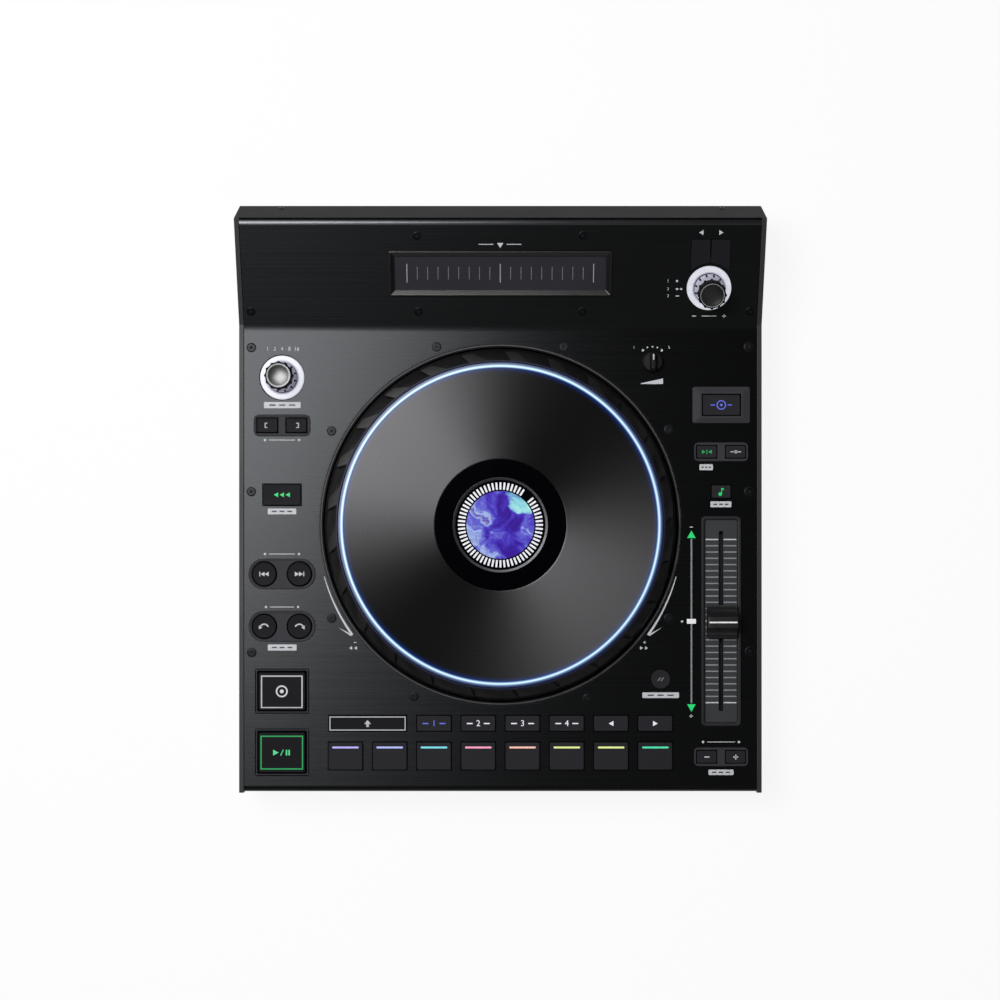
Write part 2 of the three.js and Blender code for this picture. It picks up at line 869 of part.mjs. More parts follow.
function vinylFrame() {
  const plugWidth = vinylFrameWidth - 2 * vinylFrameTop;
  const plugDepth = vinylFrameDepth - 2 * vinylFrameTop;
  const mouthWidth = vinylWidth + 2 * clearance;
  const mouthDepth = vinylDepth + 2 * clearance;
  return moved(loft([
    rectangleRing(plugWidth, plugDepth, keyCorner, frameBottom),
    rectangleRing(plugWidth, plugDepth, keyCorner, clearance),
    rectangleRing(vinylFrameWidth, vinylFrameDepth, keyCorner, clearance),
    rectangleRing(vinylFrameWidth, vinylFrameDepth, keyCorner, vinylFrameProud / 2),
    rectangleRing(mouthWidth + vinylFrameTop, mouthDepth + vinylFrameTop, keyCorner, vinylFrameProud),
    rectangleRing(mouthWidth + keyCorner, mouthDepth + keyCorner, keyCorner, vinylFrameProud),
  ], false), rightX, vinylRow);
}

function frameLegs() {
  const x = frameHalfWidth - frameLegSide / 2;
  const between = (a, b) => (a + b) / 2;
  const leftRows = [
    between(playRow, cueRow),
    between(jumpRow, skipRow),
    between(censorRow, inOutRow),
  ];
  const rightRows = [between(bendRow, faderFront), between(keyLockRow, syncRow)];
  const low = boardTop + clearance;
  const leg = (side) => (y) => block(frameLegSide, frameLegSide, low, frameTop, side * x, y);
  return [...leftRows.map(leg(-1)), ...rightRows.map(leg(1))];
}

// Square-cornered under the panel, where no surround shows its edge
function frameHole(key, low, high) {
  if (key.surrounded || key.radius) return keyHole(key, clearance, low, high);
  return block(key.width + 2 * clearance, key.depth + 2 * clearance, low, high, key.x, key.y);
}

function buttonFrame() {
  const low = frameBottom - overrun;
  const high = vinylFrameProud + overrun;
  const raised = surrounds.map((surround) => surroundSlab(surround, 0, frameBottom, surroundProud));
  const plate = joined(frameOutlineSlab(frameBottom, frameTop), ...raised, vinylFrame(), ...frameLegs());
  const holes = keys.map((key) => frameHole(key, low, high));
  return cutBy(plate, ...holes, faderHole(low, high));
}

// Control board: the switches and controls under the keys, with a bent end under the slope

function controlBoard() {
  const halfBoard = halfWidth - boardFromSide;
  const front = frameFromEdge + wallThickness;
  const innerEdge = wellRadius + boardFromSide;
  const strip = rectangle(-halfBoard, front, halfBoard, frameStripDepth);
  const left = rectangle(-halfBoard, front, -innerEdge, boardReach);
  const adjustTab = rectangle(adjustX - encoderSide, adjustRow - encoderSide, halfBoard, boardReach);
  const plates = [strip, left, adjustTab].map((shape) => slab(shape, boardBottom, boardTop));
  const bent = sideProfile(
    bentBand(boardTop, boardBottom, front, slopeLength - 3 * wallThickness),
    innerEdge,
    halfBoard,
  );
  const clearOfWell = bore(
    wellRadius + 2 * wellWall,
    boardBottom - overrun,
    boardTop + overrun,
    0,
    wheelRow,
    wheelSegments,
  );
  const board = cutBy(joined(...plates, bent), clearOfWell);
  return joined(board, ...deckComponents(), ...slopeComponents());
}

function deckComponents() {
  const sunk = boardBottom + boardThickness / 2;
  const switches = keys.map((key) => block(switchSide, switchSide, sunk, switchTop, key.x, key.y));
  const encoderTop = boardTop + encoderHeight;
  const potTop = boardTop + adjustPotHeight;
  return [
    ...switches,
    block(encoderSide, encoderSide, sunk, encoderTop, loopX, loopRow),
    block(encoderSide, encoderSide, sunk, potTop, adjustX, adjustRow),
    block(faderPotWidth, faderPotDepth, sunk, boardTop + faderPotHeight, rightX, faderRow),
  ];
}

function slopeComponents() {
  const sunk = boardBottom + boardThickness / 2;
  const encoderTop = boardTop + encoderHeight;
  return [
    block(encoderSide, encoderSide, sunk, encoderTop, selectX, selectUpSlope),
    ...browseKeys.map((key) => block(switchSide, switchSide, sunk, switchTop, key.x, key.y)),
  ].map(onSlope);
}

// Browse keys: side by side on the slope, cut to the recess round the encoder

const browseKeys = pairOf(['back', 'forward'], selectX, browseUpSlope, browsePitch, (name, x, y) =>
  keyOf(name, x, y, browseWidth, browseDepth));

function browseKey(key) {
  const rear = browseUpSlope + browseDepth / 2;
  const left = key.x - browseWidth / 2;
  const right = key.x + browseWidth / 2;
  const front = browseUpSlope - browseDepth / 2;
  const underPanel = panelUnderside - clearance;
  const cap = slab(rectangle(left, front, right, rear), underPanel, keyRise);
  const flange = slab(
    rectangle(left, front, right, rear + flangeMargin + clearance),
    underPanel - flangeThickness,
    underPanel,
  );
  const low = underPanel - flangeThickness - overrun;
  const recess = bore(browseRecessRadius, low, keyRise + overrun, selectX, selectUpSlope, hubSegments);
  const stem = block(stemSide, stemSide, stemEnd, underPanel - flangeThickness / 2, key.x, key.y);
  return joined(cutBy(joined(cap, flange), recess), stem);
}

// Jog wheel

// The faceted rim: each facet falls away along its length and then steps back up
function platterRim() {
  const perFacet = 2;
  const count = rimFacets * perFacet;
  const scoopShares = [0, 1];
  const level = (height) => () => height;
  const round = (radius) => () => radius;
  const scoop = (step) => rimScoopDepth * scoopShares[step % perFacet];
  const top = wheelRise + rimTopStep - clearance;
  const ledgeTop = wheelRise - discThickness - clearance;
  const grooveFloor = wheelRise - lightRingDrop - lightRingHeight - clearance;
  const middleRadius = (rimInnerRadius + rimShoulder + platterRadius) / 2;
  const middleHeight = top - rimEdgeDrop * (1 - 2 / 3);
  const skirt = platterRadius - rimWall;
  const rings = [
    circleRing(round(rimLedgeRadius), level(ledgeTop - rimLedgeThickness), count),
    circleRing(round(skirt), level(ledgeTop - rimLedgeThickness), count),
    circleRing(round(skirt), level(-rimSkirtDepth), count),
    circleRing(round(platterRadius), level(-rimSkirtDepth), count),
    circleRing(round(platterRadius), level(top - rimEdgeDrop), count),
    circleRing((step) => middleRadius - scoop(step), (step) => middleHeight - scoop(step), count),
    circleRing(round(rimInnerRadius + rimShoulder), level(top), count),
    circleRing(round(rimInnerRadius), level(top), count),
    circleRing(round(rimInnerRadius), level(grooveFloor), count),
    circleRing(round(discRadius), level(grooveFloor), count),
    circleRing(round(discRadius), level(ledgeTop), count),
    circleRing(round(rimLedgeRadius), level(ledgeTop), count),
  ];
  return loft(rings, true);
}

function platterLightRing() {
  const top = wheelRise - lightRingDrop;
  return closedTurn([
    [lightRingInner, top - lightRingHeight],
    [lightRingOuter, top - lightRingHeight],
    [lightRingOuter, top],
    [lightRingInner, top],
  ], wheelSegments);
}

// The spun disc with its sunken web and the sleeve that turns on the bearing
function platterDisc() {
  const sleeveInner = spindleRadius + bearingThickness + 2 * clearance;
  const sleeveOuter = sleeveInner + sleeveThickness;
  const webTop = wheelRise - webDrop;
  const underside = wheelRise - discThickness;
  return closedTurn([
    [sleeveInner, -sleeveDepth],
    [sleeveOuter, -sleeveDepth],
    [sleeveOuter, webTop - webThickness],
    [hubRadius + discThickness, webTop - webThickness],
    [hubRadius + 2 * discThickness, underside],
    [discRadius - clearance, underside],
    [discRadius - clearance, wheelRise - discEdge],
    [discRadius - clearance - discEdge, wheelRise],
    [hubRadius, wheelRise],
    [hubRadius, webTop],
    [sleeveInner, webTop],
  ], wheelSegments);
}

function centreDisplay() {
  const radius = hubRadius - clearance;
  const top = wheelRise + displayProud;
  const low = wheelRise - webDrop + 2 * clearance;
  const ringTop = top + displayRingProud;
  const glass = top - displayGlassDrop;
  return turned([
    [0, low],
    [radius, low],
    [radius, top - displayEdge],
    [radius - displayEdge, top],
    [displayRingOuter, top],
    [displayRingOuter, ringTop],
    [displayRingInner, ringTop],
    [displayRingInner, glass],
    [0, glass],
  ], hubSegments);
}

// The hollow post that holds the display still, standing on the base cover
function wheelSpindle() {
  const foot = coverThickness + clearance - baseDrop;
  const shoulder = -sleeveDepth;
  const top = wheelRise - webDrop + clearance;
  return closedTurn([
    [spindleBore, foot],
    [spindleFlangeRadius, foot],
    [spindleFlangeRadius, foot + spindleFlangeHeight],
    [spindleShoulder, foot + spindleFlangeHeight],
    [spindleShoulder, shoulder],
    [spindleRadius, shoulder],
    [spindleRadius, top],
    [spindleBore, top],
  ], smallSegments);
}

function wheelBearing() {
  const low = -sleeveDepth + clearance;
  const inner = spindleRadius + clearance;
  return closedTurn([
    [inner, low],
    [inner + bearingThickness, low],
    [inner + bearingThickness, low + bearingLength],
    [inner, low + bearingLength],
  ], smallSegments);
}

// The bezel ring in the panel and, in one piece with it, the well that the platter runs in
function wheelBezel() {
  const floorTop = -wellDepth;
  const flangeHigh = panelUnderside - clearance;
  const flangeLow = flangeHigh - bezelFlangeThickness;
  const wallOuter = wellRadius + wellWall;
  return closedTurn([
    [wellMouthRadius, floorTop - wellFloorThickness],
    [wallOuter, floorTop - wellFloorThickness],
    [wallOuter, flangeLow],
    [bezelFlangeRadius, flangeLow],
    [bezelFlangeRadius, flangeHigh],
    [bezelRadius, flangeHigh],
    [bezelRadius - bezelProud, bezelProud],
    [wellRadius, bezelProud],
    [wellRadius, floorTop],
    [wellMouthRadius, floorTop],
  ], wheelSegments);
}

// Encoders: a light ring in the panel, a rotor on the encoder and a knob that turns and pushes

function encoderRing() {
  const flangeHigh = panelUnderside - clearance;
  const flangeLow = flangeHigh - ringFlangeThickness;
  return closedTurn([
    [ringInnerRadius, flangeLow],
    [ringOuterRadius + ringFlange, flangeLow],
    [ringOuterRadius + ringFlange, flangeHigh],
    [ringOuterRadius, flangeHigh],
    [ringOuterRadius - ringProud / 2, ringProud],
    [ringInnerRadius, ringProud],
  ], smallSegments);
}

function encoderRotor() {
  const low = boardTop + encoderHeight + clearance;
  return turned([
    [0, low],
    [rotorRadius, low],
    [rotorRadius, low + rotorThickness],
    [shaftRadius, low + rotorThickness],
    [shaftRadius, shaftTop],
    [0, shaftTop],
  ], keySegments);
}

// Twelve flutes round the grip, a plain cap above them and a dished top
function encoderKnob() {
  const perFlute = 3;
  const count = knobFlutes * perFlute;
  const bore = shaftRadius + clearance;
  const boreTop = shaftTop + pressTravel + clearance;
  const level = (height) => () => height;
  const round = (radius) => () => radius;
  const flute = (radius) => (step) => radius - (step % perFlute === 0 ? knobFluteDepth : 0);
  const low = knobLift;
  const top = knobLift + knobHeight;
  const grip = knobLift + knobGripHeight;
  const rings = [
    circleRing(round(bore), level(boreTop), count),
    circleRing(round(bore), level(low), count),
    circleRing(flute(knobRadius), level(low), count),
    circleRing(flute(knobRadius), level(grip), count),
    circleRing(round(knobCapRadius), level(grip + knobLip), count),
    circleRing(round(knobCapRadius), level(top - knobLip), count),
    circleRing(round(knobCapRadius - knobLip), level(top), count),
    circleRing(round(knobCapRadius / 2), level(top - knobDish), count),
  ];
  return loft(rings, false);
}

// Wheel adjust knob: a tapered skirt under a finger blade, on its own shaft

function adjustKnob() {
  const shaftLow = boardTop + adjustPotHeight + clearance;
  const low = adjustLift;
  const skirtTop = low + adjustSkirtHeight;
  const body = turned([
    [0, shaftLow],
    [shaftRadius, shaftLow],
    [shaftRadius, low],
    [adjustRadius, low],
    [adjustRadius - adjustTaper / 2, skirtTop],
    [adjustRadius - adjustTaper, skirtTop + adjustTaper],
    [0, skirtTop + adjustTaper],
  ], smallSegments);
  const length = 2 * (adjustRadius - adjustTaper);
  const blade = loft([
    rectangleRing(adjustFinWidth + adjustTaper, length, adjustTaper, skirtTop),
    rectangleRing(adjustFinWidth, length - adjustTaper, adjustTaper, adjustHeight - adjustTaper),
    rectangleRing(adjustFinWidth - adjustTaper, length - 2 * adjustTaper, adjustTaper / 2, adjustHeight),
  ], false);
  return joined(body, blade);
}

// Pitch fader: a framed, sunken plate with the slot, and a cap with two finger slopes

function faderPlate() {
  const width = faderFrameWidth;
  const depth = faderFrameDepth;
  const plug = 2 * faderCorner;
  const rim = 2 * faderFrameRim;
  const body = loft([
    rectangleRing(width - plug, depth - plug, faderCorner, -faderPlugDepth),
    rectangleRing(width - plug, depth - plug, faderCorner, clearance),
    rectangleRing(width, depth, faderCorner, clearance),
    rectangleRing(width, depth, faderCorner, faderFrameProud - clearance),
    rectangleRing(width - faderCorner, depth - faderCorner, faderCorner, faderFrameProud),
    rectangleRing(width - rim, depth - rim, faderCorner, faderFrameProud),
    rectangleRing(width - rim - clearance, depth - rim - clearance, faderCorner, -faderFloorDrop),
  ], false);
  const slot = roundedRectangle(faderSlotWidth, faderSlotLength, faderSlotWidth / 2 - clearance);
  return cutBy(body, slab(slot, -faderPlugDepth - overrun, overrun));
}

// The cap's side view falls from the ridge to its ends in two hollow curves
function faderCap() {
  const low = faderCapLift;
  const top = low + faderCapHeight;
  const end = faderCapDepth / 2;
  const ridge = faderRidge / 2;
  const fall = faderCapHeight - faderCapBase;
  const curveShares = [0, 0.22, 0.5, 0.78, 1];
  const hollow = (share) => [ridge + (end - ridge) * share, top - fall * Math.sin((share * Math.PI) / 2)];
  const rear = curveShares.map(hollow);
  const front = rear.map(([y, z]) => [-y, z]).reverse();
  const body = sideProfile([
    [-end, low],
    [end, low],
    ...rear.reverse(),
    ...front.reverse(),
  ], -faderCapWidth / 2, faderCapWidth / 2);
  const stemLow = boardTop + faderPotHeight + clearance;
  return joined(body, block(faderStemWidth, faderStemDepth, stemLow, low + overrun));
}

// Touch strip: a bevelled frame on the slope round a sunken touch surface

function touchStrip() {
  const plug = 2 * stripPlugInset;
  const rim = 2 * stripRim;
  const width = stripWidth;
  const depth = stripDepth;
  return loft([
    rectangleRing(width - plug, depth - plug, stripCorner, -stripPlugDepth),
    rectangleRing(width - plug, depth - plug, stripCorner, clearance),
    rectangleRing(width, depth, stripCorner, clearance),
    rectangleRing(width, depth, stripCorner, stripProud - stripCorner),
    rectangleRing(width - 2 * stripCorner, depth - 2 * stripCorner, stripCorner, stripProud),
    rectangleRing(width - plug, depth - plug, stripCorner, stripProud),
    rectangleRing(width - rim, depth - rim, stripCorner, stripFloor),
  ], false);
}

// Base: the cover with its board standoffs, four feet and the main board with its socket

const mainBoardRow = deviceDepth - rearWall - clearance - mainBoardDepth / 2;
const standoffShares = [-0.42, 0.42];

function standoffPlaces() {
  return standoffShares.flatMap((across) => standoffShares.map((along) => [
    across * mainBoardWidth,
    mainBoardRow + along * mainBoardDepth,
  ]));
}

function bottomCover() {
  const low = -baseDrop;
  const high = low + coverThickness;
  const width = 2 * (innerHalfWidth - clearance);
  const depth = deviceDepth - 2 * (wallThickness + clearance);
  const plate = block(width, depth, low, high, 0, deviceDepth / 2);
  const standoffTop = mainBoardLow - clearance;
  const standoff = ([x, y]) => post(standoffRadius, low, standoffTop, x, y, keySegments);
  return joined(plate, ...standoffPlaces().map(standoff));
}

function foot() {
  return turned([
    [0, 0],
    [footRadius - footTaper, 0],
    [footRadius, footTaper],
    [footRadius, footHeight],
    [0, footHeight],
  ], smallSegments);
}

function mainBoard() {
  const low = mainBoardLow;
  const high = mainBoardHigh;
  const board = block(mainBoardWidth, mainBoardDepth, low, high, 0, mainBoardRow);
  const chipShares = [-0.3, -0.05, 0.2];
  const chipTop = high + chipHeight;
  const chip = (share) => block(chipSide, chipSide, low, chipTop, share * mainBoardWidth, mainBoardRow);
  const socket = block(
    portWidth,
    portLength,
    high - clearance / 2,
    high + portTall,
    portFromCentre,
    deviceDepth - portLength / 2,
  );
  const mouth = block(
    portMouthWidth,
    portMouthLength + overrun,
    portZ - portMouthTall / 2,
    portZ + portMouthTall / 2,
    portFromCentre,
    deviceDepth - portMouthLength / 2 + overrun / 2,
  );
  return joined(board, ...chipShares.map(chip), cutBy(socket, mouth));
}

// Putting it together

add(deck, 'housing', housing(), blackPlastic);
add(deck, 'top_panel', topPanel(), anodisedMetal);
add(deck, 'bottom_cover', bottomCover(), blackPlastic);
add(deck, 'main_board', mainBoard(), circuitBoard);
add(deck, 'control_board', controlBoard(), circuitBoard);
add(deck, 'button_frame', buttonFrame(), blackPlastic);

for (const [side, sideName] of [[-1, 'left'], [1, 'right']]) {
  for (const [end, endName] of [[-1, 'front'], [1, 'rear']]) {
    const x = side * (halfWidth - footFromSide);
    const y = deviceDepth / 2 + end * (deviceDepth / 2 - footFromEnd);
    add(deck, `foot_${endName}_${sideName}`, foot(), rubber, x, y, -deckHeight);
  }
}

add(wheel, 'wheel_bezel', wheelBezel(), blackPlastic);
add(wheel, 'wheel_spindle', wheelSpindle(), steel);
add(wheel, 'wheel_bearing', wheelBearing(), steel);
add(wheel, 'platter_disc', platterDisc(), spunMetal);
add(wheel, 'platter_rim', platterRim(), glossyBlack);
add(wheel, 'platter_light_ring', platterLightRing(), blueDiffuser);
add(wheel, 'centre_display', centreDisplay(), glossyBlack);

add(deck, 'loop_light_ring', encoderRing(), whiteDiffuser, loopX, loopRow);
add(deck, 'loop_rotor', encoderRotor(), steel, loopX, loopRow);
add(deck, 'loop_knob', encoderKnob(), blackPlastic, loopX, loopRow);
add(slope, 'select_light_ring', encoderRing(), whiteDiffuser, selectX, selectUpSlope);
add(slope, 'select_rotor', encoderRotor(), steel, selectX, selectUpSlope);
add(slope, 'select_knob', encoderKnob(), blackPlastic, selectX, selectUpSlope);
add(deck, 'wheel_adjust_knob', adjustKnob(), blackPlastic, adjustX, adjustRow);
add(deck, 'fader_plate', faderPlate(), greyPlastic, rightX, faderRow);
add(deck, 'fader_cap', faderCap(), blackPlastic, rightX, faderRow);
add(slope, 'needle_drop_strip', touchStrip(), glossyBlack, 0, stripUpSlope);

for (const key of keys) {
  add(deck, key.name, keySolid(key), keyPlastic, key.x, key.y);
}
for (const key of browseKeys) {
  add(slope, key.name, browseKey(key), keyPlastic);
}

export default controller;
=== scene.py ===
"""A DJ deck controller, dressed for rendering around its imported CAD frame.

Shapes are drawn in millimetres and placed in metres; +Z is up and +Y is the rear. The camera looks
straight down on the deck, as in the photograph, and printed marks are placed by its pixels.
"""

import json
from math import cos, pi, radians, sin

import bmesh
import bpy
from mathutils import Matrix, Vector


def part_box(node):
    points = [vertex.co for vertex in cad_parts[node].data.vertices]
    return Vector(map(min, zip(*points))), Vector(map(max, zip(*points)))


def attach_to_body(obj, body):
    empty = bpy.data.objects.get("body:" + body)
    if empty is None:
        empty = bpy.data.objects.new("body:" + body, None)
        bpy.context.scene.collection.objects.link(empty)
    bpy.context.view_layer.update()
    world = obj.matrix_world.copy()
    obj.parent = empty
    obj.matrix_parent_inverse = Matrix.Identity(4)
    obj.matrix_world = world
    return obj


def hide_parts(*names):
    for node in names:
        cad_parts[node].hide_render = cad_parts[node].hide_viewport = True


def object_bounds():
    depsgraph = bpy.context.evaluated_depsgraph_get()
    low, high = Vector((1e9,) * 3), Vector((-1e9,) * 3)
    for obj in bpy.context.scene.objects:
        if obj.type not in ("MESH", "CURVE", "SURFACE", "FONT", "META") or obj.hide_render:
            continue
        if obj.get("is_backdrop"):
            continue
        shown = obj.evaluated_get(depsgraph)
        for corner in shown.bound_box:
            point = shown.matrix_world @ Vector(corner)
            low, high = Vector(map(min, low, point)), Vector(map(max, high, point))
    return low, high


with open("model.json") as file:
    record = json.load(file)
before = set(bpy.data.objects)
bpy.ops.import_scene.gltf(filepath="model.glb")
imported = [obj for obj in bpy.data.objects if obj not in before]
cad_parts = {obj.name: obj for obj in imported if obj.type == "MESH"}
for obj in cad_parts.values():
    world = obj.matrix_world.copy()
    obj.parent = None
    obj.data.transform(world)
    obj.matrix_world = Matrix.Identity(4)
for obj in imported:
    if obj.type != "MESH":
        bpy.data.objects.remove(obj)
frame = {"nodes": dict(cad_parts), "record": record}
cad_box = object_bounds()
nodes = frame["nodes"]
record = frame["record"]
body_of = {node: body for body, members in record["behaviour"]["bodies"].items() for node in members}
scene = bpy.context.scene
MM = 0.001

# The deck and the slope behind it
DECK_HEIGHT = 48
FOLD_Y = 106.7
CREST_Y = 168.3
LIP_Y = -179.1
SLOPE_ANGLE = radians(20.1)

# The photograph: its size in pixels, a pixel's width on the deck, and its camera
PHOTO_SIZE = 1000
PIXEL = 0.6127
SENSOR = 36.0
CAMERA_RISE = 1100
EYE = Vector((-0.25, -0.6, DECK_HEIGHT + CAMERA_RISE))

# Heights above the deck or the slope
FILM = 0.06
KEY_TOP = 1.3


def box(node):
    """A node's lowest and highest corners, in millimetres."""
    return [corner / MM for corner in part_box(node)]


def extent(node):
    """The middle, the width and the depth of a node's box, seen from above."""
    low, high = box(node)
    return ((low.x + high.x) / 2, (low.y + high.y) / 2), high.x - low.x, high.y - low.y


def middle(node):
    return extent(node)[0]


class Surface:
    """A flat place with its own directions: across, along, and out of the surface."""

    def __init__(self, origin, tilt=0.0):
        self.origin = Vector(origin)
        self.across = Vector((1, 0, 0))
        self.along = Vector((0, cos(tilt), sin(tilt)))
        self.out = Vector((0, -sin(tilt), cos(tilt)))

    def point(self, u, v, rise=0.0):
        """A place on the surface or above it, in metres."""
        return MM * (self.origin + u * self.across + v * self.along + rise * self.out)

    def seen(self, pixel_x, pixel_y, rise=0.0):
        """Where the line of sight through a pixel meets the surface, as (u, v)."""
        half = PHOTO_SIZE / 2
        sight = Vector(((pixel_x - half) * PIXEL, (half - pixel_y) * PIXEL, -CAMERA_RISE))
        reach = (self.origin + rise * self.out - EYE).dot(self.out) / sight.dot(self.out)
        offset = EYE + reach * sight - self.origin
        return offset.dot(self.across), offset.dot(self.along)


deck = Surface((0, 0, DECK_HEIGHT))
slope = Surface((0, FOLD_Y, DECK_HEIGHT), SLOPE_ANGLE)
rear_wall = Surface((0, CREST_Y, 71.2), radians(-65.6))
underside = Surface((0, 0, box("bottom_cover")[0].z), pi)
table = Surface((0, 0, 0))


# Materials. Their colours are given as a picture shows them, 0 to 255.


def colour(tone):
    """A colour made linear."""
    shares = [value / 255 for value in tone]
    return tuple(s / 12.92 if s <= 0.04045 else ((s + 0.055) / 1.055) ** 2.4 for s in shares) + (1.0,)


DARK_GUIDE = (0.015, 0.015, 0.015, 1)


def shade(tone, factor):
    """A darker or lighter shade of a linear colour."""
    return tuple(factor * part for part in tone[:3]) + (1.0,)


class Tree:
    """A tree of nodes: each method adds a node, and most return its output."""

    def __init__(self, holder):
        holder.use_nodes = True
        self.tree = holder.node_tree

    def add(self, kind, inputs=(), **settings):
        node = self.tree.nodes.new(f"ShaderNode{kind}")
        for key, value in settings.items():
            setattr(node, key, value)
        for key, value in dict(inputs).items():
            self.put(node.inputs[key], value)
        return node

    def put(self, socket, value):
        if isinstance(value, bpy.types.NodeSocket):
            self.tree.links.new(value, socket)
        else:
            socket.default_value = value

    def math(self, operation, first, second=0.0, clamp=False):
        node = self.add("Math", {0: first, 1: second}, operation=operation, use_clamp=clamp)
        return node.outputs[0]

    def vector(self, operation, first, second=(0, 0, 0)):
        node = self.add("VectorMath", {0: first, 1: second}, operation=operation)
        return node.outputs["Value" if operation in ("DOT_PRODUCT", "LENGTH") else "Vector"]

    def blend(self, fac, stops):
        """Colours that follow one another; each stop is (place, linear colour)."""
        node = self.add("ValToRGB", {"Fac": fac})
        elements = node.color_ramp.elements
        while len(elements) < len(stops):
            elements.new(0.5)
        for element, (place, tone) in zip(elements, stops):
            element.position = place
            element.color = tone
        return node.outputs["Color"]

    def ramp(self, fac, low, high, start=0.3, end=0.7):
        return self.blend(fac, [(start, low), (end, high)])

    def mix(self, fac, first, second, blend="MIX"):
        inputs = {"Factor": fac, 6: first, 7: second}
        return self.add("Mix", inputs, data_type="RGBA", blend_type=blend).outputs[2]


class Shader(Tree):
    """The nodes of a material."""

    def __init__(self, name):
        self.material = bpy.data.materials.new(name)
        super().__init__(self.material)
        self.surface = self.tree.nodes["Principled BSDF"]
        self.place = self.add("TexCoord").outputs["Object"]
        self.soft = None

    def set(self, **values):
        """Sets inputs by name, with _ for a space."""
        for name, value in values.items():
            self.put(self.surface.inputs[name.replace("_", " ")], value)

    def facing(self):
        return self.add("NewGeometry").outputs["Normal"]

    def axes(self, source):
        return self.add("SeparateXYZ", {0: source}).outputs

    def noise(self, scale, detail=3.0, stretch=(1, 1, 1), vector=None):
        if vector is None:
            vector = self.add("Mapping", {"Vector": self.place, "Scale": stretch}).outputs[0]
        return self.add("TexNoise", {"Vector": vector, "Scale": scale, "Detail": detail}).outputs["Fac"]

    def span(self, value, from_low, from_high, to_low, to_high):
        inputs = {0: value, 1: from_low, 2: from_high, 3: to_low, 4: to_high}
        return self.add("MapRange", inputs).outputs[0]

    def rough(self, pattern, low, high):
        """A roughness that follows the middle of a pattern's range."""
        self.set(Roughness=self.span(pattern, 0.3, 0.7, low, high))

    def bump(self, height, strength, distance, normal=None):
        inputs = {"Height": height, "Strength": strength, "Distance": distance * MM}
        if normal is not None:
            inputs["Normal"] = normal
        self.set(Normal=self.add("Bump", inputs).outputs[0])

    def bevel_edges(self, radius):
        """1 along the edges that stand out, 0 elsewhere."""
        self.soft = self.add("Bevel", {"Radius": radius * MM}, samples=4).outputs[0]
        return self.span(self.vector("DOT_PRODUCT", self.soft, self.facing()), 1.0, 0.86, 0.0, 1.0)

    def level_from(self, centre):
        """The level way from an upright axis to the place."""
        away = self.vector("SUBTRACT", self.place, (centre[0] * MM, centre[1] * MM, 0))
        return self.vector("MULTIPLY", away, (1, 1, 0))


def moulded(name, base, grain, roughness, worn=None, depth=0.3, sheen=0.15, rear=1.0):
    """Moulded plastic with a fine pebbled grain, faint mottling and rubbed edges. A rear wall may be darkened,
    as painted shade, and made rougher.
    """
    shader = Shader(name)
    base = colour(base)
    cloud = shader.noise(35.0, 4.0)
    body = shader.ramp(cloud, shade(base, 0.95), shade(base, 1.05))
    wide = shader.span(cloud, 0.3, 0.7, roughness - 0.03, roughness + 0.03)
    # Painted shade: surfaces behind the crest that face the rear are darkened by the rear factor; they are
    # also made rougher.
    if rear != 1.0:
        behind = shader.math("GREATER_THAN", shader.axes(shader.place)[1], (CREST_Y + 0.1) * MM)
        rearward = shader.span(shader.axes(shader.facing())[1], 0.3, 0.6, 0.0, 1.0)
        behind = shader.math("MULTIPLY", behind, rearward)
        body = shader.mix(behind, body, shade(base, rear))
        wide = shader.math("ADD", wide, shader.math("MULTIPLY", behind, 0.35))
    if worn:
        patchy = shader.span(shader.noise(240.0), 0.35, 0.6, 0.25, 0.8)
        rubbed = shader.math("MULTIPLY", shader.bevel_edges(0.5), patchy, True)
        body = shader.mix(rubbed, body, colour(worn))
    shader.set(Specular_IOR_Level=sheen, Base_Color=body, Roughness=wide)
    shader.bump(shader.noise(grain, 2.0), depth, 0.05, shader.soft)
    return shader.material


def brushed(name, base, streak, roughness, worn, facing=None):
    """Anodised sheet brushed from side to side, so a light on it draws out into an upright band.

    The sheet is bent, not creased: its normal leans over towards the slope in the last few
    millimetres before the fold, towards the rear at the crest, and down at the front lip. A piece
    that is all bend says which way its flat surface would face.
    """
    shader = Shader(name)
    fine = shader.noise(1.0, 2.0, stretch=(14, 4200, 4200))
    broad = shader.noise(1.0, 3.0, stretch=(6, 1100, 1100))
    mixed = shader.math("ADD", shader.math("MULTIPLY", fine, 0.5), shader.math("MULTIPLY", broad, 0.5))
    rubbed = shader.math("MULTIPLY", shader.bevel_edges(0.3), 0.5)
    tone = shader.ramp(mixed, colour(base), colour(streak))
    shader.set(Base_Color=shader.mix(rubbed, tone, colour(worn)), Metallic=0.85, Specular_IOR_Level=0.0,
               Anisotropic=0.75, Tangent=shader.add("CombineXYZ", {1: 1.0}).outputs[0])
    shader.rough(mixed, roughness - 0.02, roughness + 0.02)
    along = shader.axes(shader.place)[1]

    def bend(start, end, lean):
        return shader.span(along, start * MM, end * MM, 0.0, lean)

    ahead = shader.math("LESS_THAN", along, FOLD_Y * MM)
    fold = shader.math("MULTIPLY", bend(FOLD_Y - 4.4, FOLD_Y, -0.345), ahead)
    ends = shader.math("ADD", bend(CREST_Y - 3.4, CREST_Y - 0.5, 0.8), bend(LIP_Y + 3.6, LIP_Y + 0.4, -1.1))
    tilt = shader.add("CombineXYZ", {1: shader.math("ADD", fold, ends)}).outputs[0]
    leant = shader.vector("ADD", facing or shader.facing(), tilt)
    shader.bump(mixed, 0.05, 0.02, shader.vector("NORMALIZE", leant))
    return shader.material


